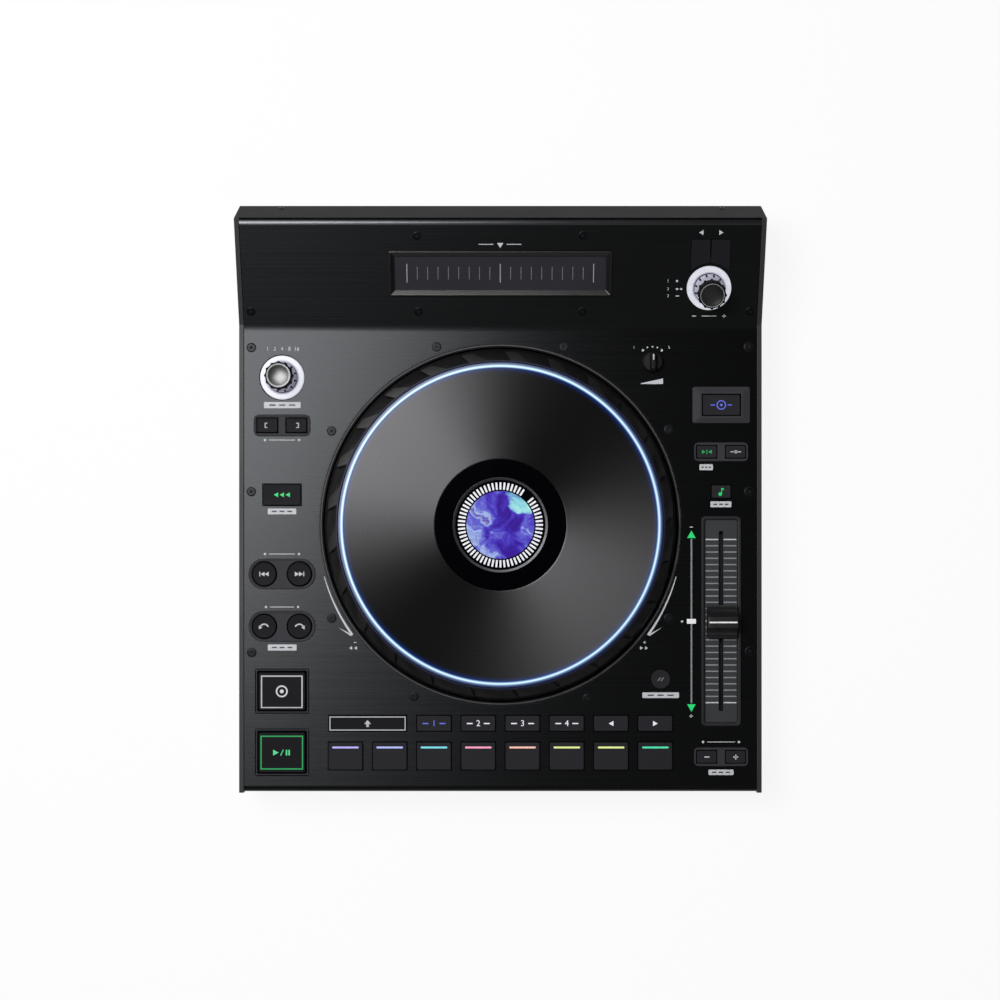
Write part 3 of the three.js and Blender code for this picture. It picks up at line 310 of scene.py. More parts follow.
def rubber(name, base):
    shader = Shader(name)
    cloud = shader.noise(90.0)
    shader.set(Base_Color=shader.ramp(cloud, colour(base), shade(colour(base), 1.6)))
    shader.rough(cloud, 0.78, 0.92)
    shader.bump(shader.noise(1900.0), 0.4, 0.06)
    return shader.material


def machined(name, base, roughness, depth=0.15):
    """Bare or dark metal with fine marks."""
    shader = Shader(name)
    lines = shader.noise(1.0, 2.0, stretch=(400, 400, 3200))
    shader.set(Base_Color=shader.ramp(lines, shade(colour(base), 0.8), colour(base)), Metallic=1.0)
    shader.rough(lines, roughness - 0.05, roughness + 0.05)
    if depth:
        shader.bump(lines, depth, 0.02)
    return shader.material


def printed(name, tint, sheen=0.1):
    """Screen-printed ink: matt, with a thin, slightly uneven film."""
    shader = Shader(name)
    film = shader.noise(900.0, 2.0)
    tone = shader.ramp(film, shade(colour(tint), 0.86), colour(tint))
    shader.set(Base_Color=tone, Specular_IOR_Level=sheen)
    shader.rough(film, 0.5, 0.62)
    return shader.material


def lit(name, core, strength, base=None, sheen=0.5):
    """A lamp shining through a moulded light guide, which is almost black unless it has a base colour."""
    shader = Shader(name)
    film = shader.noise(500.0, 2.0)
    glare = shader.ramp(film, shade(colour(core), 0.85), colour(core))
    shader.set(Base_Color=colour(base) if base else DARK_GUIDE, Specular_IOR_Level=sheen,
               Emission_Color=glare, Emission_Strength=strength)
    shader.rough(film, 0.35, 0.45)
    return shader.material


# Mesh building. A shape is its points, in metres, and its faces.


def linked(name, mesh, finish, crease=35):
    """A mesh as an object of the scene, smooth except where it turns by more than the crease."""
    mesh.shade_smooth()
    mesh.set_sharp_from_angle(angle=radians(crease))
    mesh.materials.append(finish)
    obj = bpy.data.objects.new(name, mesh)
    scene.collection.objects.link(obj)
    return obj


def attach(obj, body, stands_for=None):
    """Tells which body a piece rides on; it may stand for a CAD node."""
    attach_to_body(obj, body)
    if stands_for:
        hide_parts(stands_for)


def add_piece(name, shape, finish, crease=35, stands_for=None, body="chassis", flat=False):
    mesh = bpy.data.meshes.new(name)
    points, faces = shape
    mesh.from_pydata([tuple(point) for point in points], [], faces)
    if not flat:
        work = bmesh.new()
        work.from_mesh(mesh)
        bmesh.ops.recalc_face_normals(work, faces=work.faces)
        work.to_mesh(mesh)
        work.free()
    obj = linked(name, mesh, finish, crease)
    if not flat:
        obj.modifiers.new("even_normals", "WEIGHTED_NORMAL").keep_sharp = True
    attach(obj, body, stands_for)


def softened(node, width, name, finish, crease=30):
    """A copy of a CAD node with its edges rounded, which stands for the node."""
    mesh = nodes[node].data.copy()
    work = bmesh.new()
    work.from_mesh(mesh)
    bmesh.ops.remove_doubles(work, verts=work.verts, dist=0.002 * MM)
    bmesh.ops.dissolve_limit(work, angle_limit=radians(1), verts=work.verts, edges=work.edges)
    sharp = [edge for edge in work.edges if edge.is_manifold and edge.calc_face_angle() > radians(crease)]
    bmesh.ops.bevel(work, geom=sharp, offset=width * MM, segments=3, profile=0.5, affect="EDGES",
                    clamp_overlap=True)
    work.to_mesh(mesh)
    work.free()
    mesh.materials.clear()
    attach(linked(name, mesh, finish), body_of[node], node)


def merged(shapes):
    """Several shapes as one."""
    points, faces = [], []
    for more_points, more_faces in shapes:
        start = len(points)
        points += more_points
        faces += [tuple(start + corner for corner in face) for face in more_faces]
    return points, faces


def loft(rings, closed=False, caps=True):
    """Rings of equal count, joined side by side."""
    count = len(rings[0])
    points = [point for ring in rings for point in ring]
    spans = len(rings) if closed else len(rings) - 1
    faces = []
    for ring in range(spans):
        here = ring * count
        there = (ring + 1) % len(rings) * count
        for i in range(count):
            j = (i + 1) % count
            faces.append((here + i, here + j, there + j, there + i))
    if caps and not closed:
        faces.append(tuple(reversed(range(count))))
        faces.append(tuple((len(rings) - 1) * count + i for i in range(count)))
    return points, faces


def spun(u, v, turn):
    """A place turned round the middle."""
    return u * cos(turn) - v * sin(turn), u * sin(turn) + v * cos(turn)


def circle_ring(surface, centre, radius, rise, count):
    """Points round a circle; the radius is a value, or a function of the step."""
    ring = []
    for step in range(count):
        u, v = spun(radius(step) if callable(radius) else radius, 0, 2 * pi * step / count)
        ring.append(surface.point(centre[0] + u, centre[1] + v, rise))
    return ring


def turned(surface, centre, profile, count, closed=False):
    """A profile of (radius, rise) turned round an axis out of the surface."""
    return loft([circle_ring(surface, centre, max(r, 0.01), w, count) for r, w in profile], closed)


def rectangle(width, depth, corner, steps):
    """The outline of a rounded rectangle round the middle, as (u, v)."""
    outline = []
    for quarter, (side, end) in enumerate([(1, 1), (-1, 1), (-1, -1), (1, -1)]):
        for step in range(steps + 1):
            u, v = spun(corner, 0, pi / 2 * (quarter + step / steps))
            outline.append((side * (width / 2 - corner) + u, end * (depth / 2 - corner) + v))
    return outline


def nested(surface, centre, width, depth, profile, steps=6):
    """Rounded rectangles that follow a profile of (inset, rise, corner)."""
    return [[surface.point(centre[0] + u, centre[1] + v, rise)
             for u, v in rectangle(width - 2 * inset, depth - 2 * inset, corner, steps)]
            for inset, rise, corner in profile]


def rounded_edge(radius, steps=4):
    """How far in and how far down each step of a rounded edge lies."""
    turns = [pi / 2 * step / steps for step in range(steps + 1)]
    return [(radius * (1 - cos(turn)), radius * (sin(turn) - 1)) for turn in turns]


class Ink:
    """Flat marks of one finish that ride on one body, gathered into one piece.

    Every mark is placed from a centre on a surface. A method that draws returns the ink.
    """

    def __init__(self, name, finish, body="chassis", slot="panel_metal", centre=(0, 0), rise=0.0,
                 surface=deck):
        self.name, self.finish, self.body, self.slot = name, finish, body, slot
        self.centre, self.rise, self.surface = centre, rise, surface
        self.points, self.faces = [], []

    def at(self, pixel_x, pixel_y, surface=deck):
        """Moves the centre to where a pixel of the photograph shows the surface."""
        self.surface = surface
        self.centre = surface.seen(pixel_x, pixel_y, self.rise)
        return self

    def patches(self, outlines, lift=0.0):
        for outline in outlines:
            start = len(self.points)
            for u, v in outline:
                place = self.surface.point(self.centre[0] + u, self.centre[1] + v, self.rise + lift + FILM)
                self.points.append(place)
            self.faces.append(tuple(range(start, start + len(outline))))
        return self

    def patch(self, u, v, outline, turn=0.0, lift=0.0):
        """One patch: an outline turned round its own middle, and moved."""
        places = [spun(a, b, turn) for a, b in outline]
        return self.patches([[(u + a, v + b) for a, b in places]], lift)

    def bar(self, u, v, width, depth, corner=0.0, turn=0.0, lift=0.0):
        return self.patch(u, v, rectangle(width, depth, corner, 3 if corner else 1), turn, lift)

    def pair(self, u, v, width, depth):
        """Two bars, to the left and the right."""
        return self.bar(-u, v, width, depth).bar(u, v, width, depth)

    def plus(self, reach, line):
        return self.bar(0, 0, reach, line).bar(0, 0, line, reach)

    def disc(self, u, v, radius, count=20, lift=0.0):
        outline = [spun(radius, 0, 2 * pi * step / count) for step in range(count)]
        return self.patch(u, v, outline, lift=lift)

    def triangle(self, u, v, width, height, turn=0.0):
        """An arrowhead that points along +u when turn is 0."""
        corners = [(height / 2, 0), (-height / 2, width / 2), (-height / 2, -width / 2)]
        return self.patch(u, v, corners, turn)

    def strip(self, inner, outer):
        """A band between two lines of equal count."""
        return self.patches([inner[i], outer[i], outer[i + 1], inner[i + 1]] for i in range(len(inner) - 1))

    def frame(self, u, v, width, depth, line, lift=0.0):
        for side in (1, -1):
            self.bar(u, v + side * (depth - line) / 2, width, line, lift=lift)
        for side in (1, -1):
            self.bar(u + side * (width - line) / 2, v, line, depth - 2 * line, lift=lift)
        return self

    def arc(self, u, v, radius, line, start=0.0, end=2 * pi, count=16):
        turns = [start + (end - start) * step / count for step in range(count + 1)]
        edges = [[(u + reach * cos(t), v + reach * sin(t)) for t in turns]
                 for reach in (radius - line / 2, radius + line / 2)]
        return self.strip(*edges)

    def number(self, text, size):
        """A plain number in the built-in typeface."""
        curve = bpy.data.curves.new("number", "FONT")
        curve.body = text
        curve.size = size * MM
        curve.align_x = "CENTER"
        curve.align_y = "CENTER"
        holder = bpy.data.objects.new("number", curve)
        mesh = bpy.data.meshes.new_from_object(holder)
        start = len(self.points)
        for point in mesh.vertices:
            u, v = self.centre[0] + point.co.x / MM, self.centre[1] + point.co.y / MM
            self.points.append(self.surface.point(u, v, self.rise + FILM))
        self.faces += [tuple(start + i for i in face.vertices) for face in mesh.polygons]
        bpy.data.objects.remove(holder)
        bpy.data.curves.remove(curve)
        bpy.data.meshes.remove(mesh)
        return self

    def build(self):
        add_piece(self.name, (self.points, self.faces), self.finish, body=self.body, flat=True)


# Finishes

# Its rear wall is darkened to 0.65 as painted shade.
BLACK_PLASTIC = moulded("black_plastic", (40, 40, 43), 2600, 0.5, (66, 66, 69), sheen=0.3, rear=0.65)
BEZEL_BLACK = moulded("bezel_black", (9, 9, 10), 2600, 0.5, sheen=0.05)
BEZEL_LINE = moulded("bezel_line", (66, 66, 70), 2600, 0.45, sheen=0.2)
FRAME_PLASTIC = moulded("frame_plastic", (52, 52, 56), 2600, 0.55, (78, 78, 82), sheen=0.08)
LIP_PLASTIC = moulded("lip_plastic", (50, 50, 54), 2600, 0.55, sheen=0.08)
KEY_PLASTIC = moulded("key_plastic", (37, 37, 41), 3200, 0.5, (52, 52, 56), depth=0.15, sheen=0.06)
DARK_KEY = moulded("dark_key", (21, 21, 24), 3200, 0.5, (38, 38, 42), depth=0.15, sheen=0.06)
SLOPE_KEY = moulded("slope_key", (27, 27, 31), 3200, 0.5, (34, 34, 38), depth=0.1, sheen=0.05)
KNOB_RUBBER = moulded("knob_rubber", (18, 18, 20), 2400, 0.6, depth=0.4)
KNOB_BODY = moulded("knob_body", (7, 7, 10), 2400, 0.55, depth=0.2, sheen=0.08)
# Partly a painted highlight: a pale grey for the light that a knob's lip catches.
KNOB_LIP_HIGHLIGHT = moulded("knob_lip_painted_highlight", (150, 150, 156), 900, 0.3, depth=0.03, sheen=0.6)
KNOB_CAP = moulded("knob_cap", (10, 10, 12), 900, 0.3, depth=0.03, sheen=0.8)
KNOB_SKIRT = lit("knob_skirt", (150, 148, 172), 0.5, (150, 150, 160))
FADER_PLASTIC = moulded("fader_plastic", (50, 52, 55), 2400, 0.5)
FADER_RIM = moulded("fader_rim", (34, 34, 37), 2400, 0.45, (60, 60, 64))
FADER_CAP = moulded("fader_cap_plastic", (14, 14, 16), 1600, 0.34, (46, 46, 48), sheen=0.5)
STRIP_PLASTIC = moulded("strip_plastic", (10, 10, 12), 2800, 0.32, (48, 48, 52), sheen=0.5)
TOUCH_FILM = moulded("touch_film", (38, 38, 44), 3000, 0.4, depth=0.05)
GLOSS_BLACK = moulded("gloss_black", (3, 3, 5), 500, 0.09, depth=0.01, sheen=0.08)
PANEL_METAL = brushed("panel_metal", (34, 35, 36), (38, 39, 40), 0.27, (60, 61, 63))
# Painted highlight: the bend's metal is a lighter copy of the panel's, so the highlight along it shows
# brighter.
BENT_EDGE_HIGHLIGHT = brushed("bent_edge_painted_highlight", (64, 65, 67), (72, 73, 75), 0.27, (72, 73, 75), slope.out)
FOOT_RUBBER = rubber("foot_rubber", (22, 22, 24))
SCREW_STEEL = machined("screw_steel", (30, 31, 33), 0.36)
RING_METAL = machined("ring_metal", (66, 67, 70), 0.42, depth=0.0)
BARE_STEEL = machined("bare_steel", (150, 152, 156), 0.3)
WHITE_INK = printed("white_ink", (194, 196, 200))
GREY_INK = printed("grey_ink", (134, 136, 141))
FAINT_INK = printed("faint_ink", (112, 113, 122))
TICK_INK = printed("tick_ink", (150, 152, 157))
DARK_INK = printed("dark_ink", (56, 57, 61))
BRIGHT_INK = printed("bright_ink", (240, 241, 244))
# Flat black without sheen, painted as shade in gaps and in hidden places under the panel.
PAINTED_SHADE_BLACK = printed("painted_shade_black", (4, 4, 5), 0.0)
# Dark ink for the painted shade round and in the panel's screws.
SCREW_SHADE_INK = printed("screw_shade_ink", (15, 15, 17))
GREEN_LIGHT = lit("green_light", (14, 224, 116), 0.92, sheen=0.2)
DIM_GREEN = lit("dim_green", (14, 168, 88), 0.88, sheen=0.2)
PLAY_LIGHT = lit("play_light", (84, 238, 150), 0.9, sheen=0.2)
CUE_LIGHT = lit("cue_light", (224, 225, 231), 0.8, (50, 50, 52), 0.3)
VIOLET_LIGHT = lit("violet_light", (96, 110, 240), 0.9)
SOFT_WHITE_LIGHT = lit("soft_white_light", (196, 197, 200), 0.8)
WHITE_LIGHT = lit("white_light", (236, 237, 244), 0.8, (120, 120, 124))
RING_LIGHT = lit("ring_light", (226, 228, 238), 0.85, (90, 90, 96))


# Painted glow: the blue light round the wheel is painted on the finishes beside it, as emission that fades
# with the radius

WHEEL = middle("platter_rim")
DISC_TOP = box("platter_disc")[1].z - DECK_HEIGHT
LIGHT_MIDDLE = 96.4
LIGHT_REACH = 5.2
PAINTED_GLOW_BLUE = (12, 70, 170)


def ring_distance(shader):
    """How far a place is from the middle of the ring of light."""
    radius = shader.vector("LENGTH", shader.level_from(WHEEL))
    return shader.math("ABSOLUTE", shader.math("SUBTRACT", radius, LIGHT_MIDDLE * MM))


def painted_glow(shader, strength):
    """Painted glow: blue emission, for the ring's light on a finish, that fades away from the ring of light.
    """
    fade = shader.span(ring_distance(shader), 0.6 * MM, LIGHT_REACH * MM, 1.0, 0.0)
    power = shader.math("MULTIPLY", shader.math("POWER", fade, 3.0), strength)
    shader.set(Emission_Color=colour(PAINTED_GLOW_BLUE), Emission_Strength=power)


def spun_metal():
    """Dark metal spun on a lathe, so its grain runs round the wheel."""
    shader = Shader("spun_metal")
    level = shader.level_from(WHEEL)
    radius = shader.vector("LENGTH", level)

    def grooves(scale, detail, share):
        across = shader.add("CombineXYZ", {0: shader.math("MULTIPLY", radius, scale)}).outputs[0]
        return shader.math("MULTIPLY", shader.noise(1.0, detail, vector=across), share)

    mixed = shader.math("ADD", grooves(5200.0, 2.0, 0.6), grooves(700.0, 3.0, 0.4))
    tone = shader.ramp(mixed, colour((49, 49, 50)), colour((57, 57, 58)))
    shader.set(Base_Color=tone, Metallic=1.0, Anisotropic=0.9, Tangent=shader.vector("NORMALIZE", level))
    shader.rough(mixed, 0.29, 0.325)
    # Painted glow from the ring of light near the disc's edge.
    painted_glow(shader, 0.6)
    return shader.material


def rim_finish():
    shader = Shader("rim_finish")
    cloud = shader.noise(60.0)
    tone = shader.ramp(cloud, colour((16, 15, 16)), colour((23, 22, 22)))
    shader.set(Base_Color=tone, Specular_IOR_Level=0.17)
    shader.rough(cloud, 0.36, 0.42)
    shader.bump(shader.noise(2600.0, 2.0), 0.1, 0.03)
    # Painted glow from the ring of light on the rim.
    painted_glow(shader, 0.45)
    return shader.material


def ring_of_light():
    """White along the middle of the light guide and blue at its sides."""
    shader = Shader("ring_of_light")
    share = shader.span(ring_distance(shader), 0.0, 2.2 * MM, 0.0, 1.0)
    stops = [(0.0, (222, 252, 255)), (0.14, (204, 238, 255)), (0.33, (120, 156, 200)),
             (0.55, (48, 80, 128)), (0.8, (12, 34, 84)), (1.0, (4, 16, 50))]
    glare = shader.blend(share, [(place, colour(tone)) for place, tone in stops])
    shader.set(Base_Color=colour((36, 38, 44)), Emission_Color=glare, Emission_Strength=1.0)
    shader.rough(shader.noise(400.0), 0.3, 0.36)
    return shader.material


def display_picture():
    """A plain abstract screen pattern: marbled violet and blue with a pool of cyan."""
    shader = Shader("display_picture")
    warp = shader.add("TexNoise", {"Vector": shader.place, "Scale": 52.0, "Detail": 3.0}).outputs["Color"]
    bent = shader.vector("MULTIPLY", warp, (0.045, 0.045, 0.0))
    place = shader.vector("ADD", shader.place, bent)
    veins = shader.noise(58.0, 5.0, vector=place)
    stops = [(0.3, (58, 10, 120)), (0.41, (56, 26, 156)), (0.49, (76, 58, 194)), (0.55, (106, 108, 212)),
             (0.61, (168, 190, 236)), (0.66, (84, 42, 172)), (0.74, (128, 14, 148))]
    marble = shader.blend(veins, [(spot, colour(tone)) for spot, tone in stops])
    pool = shader.noise(30.0, 4.0, vector=place)
    tide = shader.axes(shader.place)[0]
    tide = shader.span(tide, (WHEEL[0] - 20) * MM, (WHEEL[0] + 20) * MM, -0.16, 0.14)
    shore = shader.span(shader.math("ADD", pool, tide), 0.56, 0.6, 0.0, 1.0)
    water = shader.ramp(veins, colour((64, 170, 214)), colour((176, 240, 236)), 0.36, 0.62)
    shader.set(Base_Color=colour((6, 6, 9)), Roughness=shader.span(veins, 0.0, 1.0, 0.12, 0.16),
               Emission_Color=shader.mix(shore, marble, water), Emission_Strength=0.95)
    return shader.material


SPUN_METAL = spun_metal()
RIM_FINISH = rim_finish()
RING_OF_LIGHT = ring_of_light()
DISPLAY_PICTURE = display_picture()


# CAD nodes that keep their shape get their finish here

BOARD_THICKNESS = 1.6
SOCKET_Y = 162.5


def dress(finish, *names):
    for name in names:
        mesh = nodes[name].data
        mesh.materials.clear()
        mesh.materials.append(finish)


def board_finish(name, top):
    """Green lacquer, black parts standing on it, and the bare metal shell of the socket at the rear."""
    shader = Shader(name)
    cloud = shader.noise(120.0)
    place = shader.axes(shader.place)
    socket = shader.math("GREATER_THAN", place[1], SOCKET_Y * MM)
    above = shader.math("GREATER_THAN", place[2], (top + 0.05) * MM)
    shell = shader.math("MULTIPLY", socket, above)
    green = shader.ramp(cloud, colour((14, 60, 38)), colour((22, 78, 50)))
    green = shader.mix(above, green, colour((13, 13, 15)))
    shader.set(Base_Color=shader.mix(shell, green, colour((150, 152, 156))), Metallic=shell)
    shader.rough(cloud, 0.35, 0.5)
    shader.bump(shader.noise(700.0), 0.2, 0.05)
    return shader.material


dress(PANEL_METAL, "top_panel")
dress(BLACK_PLASTIC, "housing", "bottom_cover")
dress(FRAME_PLASTIC, "button_frame")
for board in ("main_board", "control_board"):
    dress(board_finish(f"{board}_finish", box(board)[0].z + BOARD_THICKNESS), board)
dress(BARE_STEEL, "wheel_spindle", "wheel_bearing", "loop_rotor", "select_rotor")
dress(SLOPE_KEY, "back", "forward")


# Jog wheel

RIM_FACETS = 25
WHEEL_COUNT = 180
TICK_COUNT = 64
TICK_RADIUS = 23.6
TICK_GAP = radians(48.2)


def wheel_piece(name, finish, node, profile, top=0.0, closed=True, whole=False):
    """A piece turned round the wheel's axis, its rises counted from a top. A whole one stands for its node."""
    shape = turned(deck, WHEEL, [(r, top + w) for r, w in profile], WHEEL_COUNT, closed)
    add_piece(name, shape, finish, 28, node if whole else None, body_of[node])


def faceted_rim():
    """The grip round the wheel: leaf-shaped facets, each twisted and then stepped down to the next."""
    web, inner_edge, outer_edge, outer = 62, 99.9, 105.3, 107.35
    top = DISC_TOP + 0.1
    crown = top - 0.35
    columns = [(0.0, 2.2, 4.6), (0.14, 3.0, 3.9), (0.28, 3.7, 3.1), (0.42, 4.4, 2.2), (0.56, 4.8, 1.4),
               (0.68, 4.1, 1.35), (0.8, 3.4, 1.3), (0.9, 2.8, 1.25), (1.0, 2.2, 1.2)]
    facet_span = 360 / RIM_FACETS

    def ring(radius, rise, twist=0.0):
        """One ring; the twist is the share of each column's sweep and drop at this radius."""
        points = []
        for facet in range(RIM_FACETS):
            for share, sweep, drop in columns:
                u, v = spun(radius, 0, radians((facet + share) * facet_span + sweep * twist))
                points.append(deck.point(WHEEL[0] + u, WHEEL[1] + v, rise - drop * twist))
        return points

    rings = [
        ring(web, DISC_TOP - 8), ring(outer - 2, DISC_TOP - 8), ring(outer - 2, -8), ring(outer, -8),
        ring(outer, top - 9), ring(outer_edge + 0.9, crown - 2.2, 1.0), ring(outer_edge, crown, 1.0),
        ring((inner_edge + outer_edge) / 2, crown + 0.1, 0.5), ring(inner_edge, crown + 0.05),
        ring(99.7, top), ring(99.2, top), ring(99.0, top - 0.25), ring(99.0, DISC_TOP - 4.5),
        ring(96.0, DISC_TOP - 4.5), ring(96.0, DISC_TOP - 2.3), ring(web, DISC_TOP - 2.3),
    ]
    shape = loft(rings, closed=True)
    add_piece("faceted_rim", shape, RIM_FINISH, 7, "platter_rim", "platter")


def display_ticks():
    """Lit ticks round the screen, less those at the playing place."""
    ticks = Ink("display_ticks", WHITE_LIGHT, "chassis", "display_glass", WHEEL, DISC_TOP - 0.1)
    for i in range(TICK_COUNT):
        turn = 2 * pi * i / TICK_COUNT
        if abs(turn - TICK_GAP) >= 2 * pi / TICK_COUNT:
            ticks.bar(*spun(TICK_RADIUS, 0, turn), 4.4, 1.15, 0.2, turn)
    ticks.build()


wheel_piece("spun_disc", SPUN_METAL, "platter_disc", [
    (16.8, -9 - DISC_TOP), (20, -9 - DISC_TOP), (20, -8.7), (41.8, -8.7), (43.8, -2), (95.25, -2),
    (95.25, -0.3), (95.15, -0.1), (94.95, 0), (40.7, 0), (40.0, -0.22), (39.8, -0.5), (39.8, -6.5),
    (16.8, -6.5),
], DISC_TOP, whole=True)
wheel_piece("wheel_light_guide", RING_OF_LIGHT, "platter_light_ring", [
    (96.3, -4), (98.7, -4), (98.7, -0.25), (98.45, 0), (95.55, 0), (95.3, -0.25), (95.3, -1.2),
    (96.3, -1.6),
], DISC_TOP - 0.15, whole=True)
faceted_rim()
wheel_piece("bezel_and_well", BEZEL_BLACK, "wheel_bezel", [
    (17, -16), (109.9, -16), (109.9, -3.4), (114, -3.4), (114, -1.9), (110.95, -1.9), (110.9, -0.15),
    (110.45, -0.1), (110.4, 0.3), (110.25, 0.45), (108.7, 0.5), (108.45, 0.35), (108.4, 0), (108.4, -14),
    (17, -14),
], whole=True)
wheel_piece("bezel_trim", BEZEL_LINE, "wheel_bezel", [
    (109.5, 0.3), (110.25, 0.3), (110.25, 0.55), (110.15, 0.66), (109.6, 0.66), (109.5, 0.6),
])
wheel_piece("opening_edge", PANEL_METAL, "wheel_bezel", [
    (110.5, -0.1), (111.2, -0.1), (111.2, 0.0), (111.9, 0.0), (111.85, 0.05), (110.62, 0.05), (110.5, 0.0),
])
DISPLAY_TOP = DISC_TOP + 0.4
wheel_piece("display_body", GLOSS_BLACK, "centre_display", [
    (0, -6.7), (39.3, -6.7), (39.5, -6.5), (39.5, -0.4), (39.42, -0.12), (39.2, 0), (28.9, 0),
    (28.85, -0.3), (26.9, -0.5), (0, -0.5),
], DISPLAY_TOP, closed=False, whole=True)
wheel_piece("display_ring", RING_METAL, "centre_display", [
    (27.25, -0.6), (28.85, -0.6), (28.85, 0.05), (28.7, 0.1), (27.35, -0.22), (27.25, -0.35),
], DISPLAY_TOP)
wheel_piece("display_screen", DISPLAY_PICTURE, "centre_display", [
    (0, -0.52), (20.6, -0.52), (20.6, -0.44), (0, -0.44),
], DISPLAY_TOP, closed=False)
display_ticks()


# Keys: rounded caps on their flanges and stems, made to the CAD keys' boxes

FLANGE = 0.8
FLANGE_TOP = -4.0
FLANGE_LOW = -5.2
STEM_LOW = -7.1
STEM_SIDE = 3.2
KEY_CORNER = 0.9
KEY_EDGE = 0.45
KEY_DISH = 0.12
NOT_LIKE_KEYS = ("select_rotor", "select_knob", "loop_rotor", "loop_knob", "wheel_adjust_knob", "fader_cap",
                 "back", "forward")
KEYS = [name for name, body in body_of.items() if body == name and name not in NOT_LIKE_KEYS]
ROUND_KEYS = ("skip_back", "skip_forward", "jump_back", "jump_forward", "slip")
LARGE_KEYS = ("cue", "play")
DARK_KEYS = ("loop_in", "loop_out", "censor", "skip_back", "skip_forward", "jump_back", "jump_forward", "cue",
             "play", "shift")

# The raised surrounds of the pairs of keys: width, depth, and the corners' radius
SURROUND_RISE = 0.5
PAIRS = [("loop_in", "loop_out", 34.3, 12.9, 2.6), ("skip_back", "skip_forward", 40.7, 18.3, 8.8),
         ("jump_back", "jump_forward", 40.7, 18.3, 8.8), ("sync", "master", 33, 11.4, 2.6),
         ("bend_minus", "bend_plus", 33, 11.4, 2.6)]
SURROUNDED = {"vinyl": 1.9} | {name: SURROUND_RISE for pair in PAIRS for name in pair[:2]}


def key_place(name):
    """Centre, width and depth of a key's cap."""
    centre, width, depth = extent(name)
    return centre, width - 2 * FLANGE, depth - 2 * FLANGE


def key_cap(name, finish):
    centre, width, depth = key_place(name)
    dish = KEY_TOP - KEY_DISH
    if name in ROUND_KEYS:
        foot = width / 2 + FLANGE
        reach = width / 2 - (0.5 if name in SURROUNDED else 0.0)
        profile = [(0, STEM_LOW), (STEM_SIDE / 2, STEM_LOW), (STEM_SIDE / 2, FLANGE_LOW), (foot, FLANGE_LOW),
                   (foot, FLANGE_TOP), (reach, FLANGE_TOP)]
        profile += [(reach - inset, KEY_TOP + down) for inset, down in rounded_edge(KEY_EDGE)]
        shape = turned(deck, centre, profile + [(reach - 1.5, dish), (0, dish)], 56)
    else:
        spare = 0.25 if name in SURROUNDED or name in LARGE_KEYS else 0.0
        profile = [(-FLANGE, FLANGE_LOW, KEY_CORNER), (-FLANGE, FLANGE_TOP, KEY_CORNER),
                   (spare, FLANGE_TOP, KEY_CORNER)]
        profile += [(spare + inset, KEY_TOP + down, max(KEY_CORNER - inset, 0.3))
                    for inset, down in rounded_edge(KEY_EDGE)]
        rings = nested(deck, centre, STEM_SIDE, STEM_SIDE, [(0, STEM_LOW, 0.3), (0, FLANGE_LOW, 0.3)])
        shape = loft(rings + nested(deck, centre, width, depth, profile + [(2.2, dish, 0.3)]))
    add_piece(f"{name}_cap", shape, finish, 50, name, name)


def key_gap_shade():
    """Painted shade round each key: a black band at its cut edge; round the large ones, a black block of
    painted shade deep in the wide gap, a real lip in it, and a painted shadow line at the hole's edge.
    """
    edges = Ink("key_gap_shade", PAINTED_SHADE_BLACK)
    for name in KEYS:
        if name in LARGE_KEYS:
            continue
        edges.centre, width, depth = key_place(name)
        edges.rise = SURROUNDED.get(name, 0.0)
        if name in ROUND_KEYS:
            inner, outer = (-0.45, 0.25) if name in SURROUNDED else (0.0, 0.35)
            edges.arc(0, 0, width / 2 + (inner + outer) / 2, outer - inner, count=40)
        else:
            reach, line = (0.3, 0.5) if name in SURROUNDED else (0.55, 0.55)
            edges.frame(0, 0, width + 2 * reach, depth + 2 * reach, line)
    edges.rise = 0.0
    # Painted shade: a flat black block fills the bottom of the gap round each large key.
    gap_shade = [(-0.15, -1.5), (-0.15, -0.5), (-1.8, -0.5), (-1.8, -1.5)]
    lip = [(-0.75, -0.9), (-0.75, -0.25), (-0.85, -0.1), (-1.5, -0.1), (-1.6, -0.25), (-1.6, -0.9)]
    for name in LARGE_KEYS:
        edges.centre, width, depth = key_place(name)
        # A painted shadow line on the panel along the hole's edge.
        edges.frame(0, 0, width + 4.2, depth + 4.2, 0.3)
        for part, profile, finish, slot in (("gap_shade", gap_shade, PAINTED_SHADE_BLACK, "foot_rubber"),
                                            ("lip", lip, LIP_PLASTIC, "housing_plastic")):
            rings = nested(deck, edges.centre, width, depth, [(inset, w, KEY_CORNER) for inset, w in profile])
            add_piece(f"{name}_{part}", loft(rings, closed=True), finish)
    edges.build()


for key in KEYS:
    key_cap(key, DARK_KEY if key in DARK_KEYS else KEY_PLASTIC)
key_gap_shade()


# Encoders: a lit ring in the panel and a fluted knob with a dished cap

RIBS = 12
CAP_STEPS = 144
STUD_RADIUS = 8.45


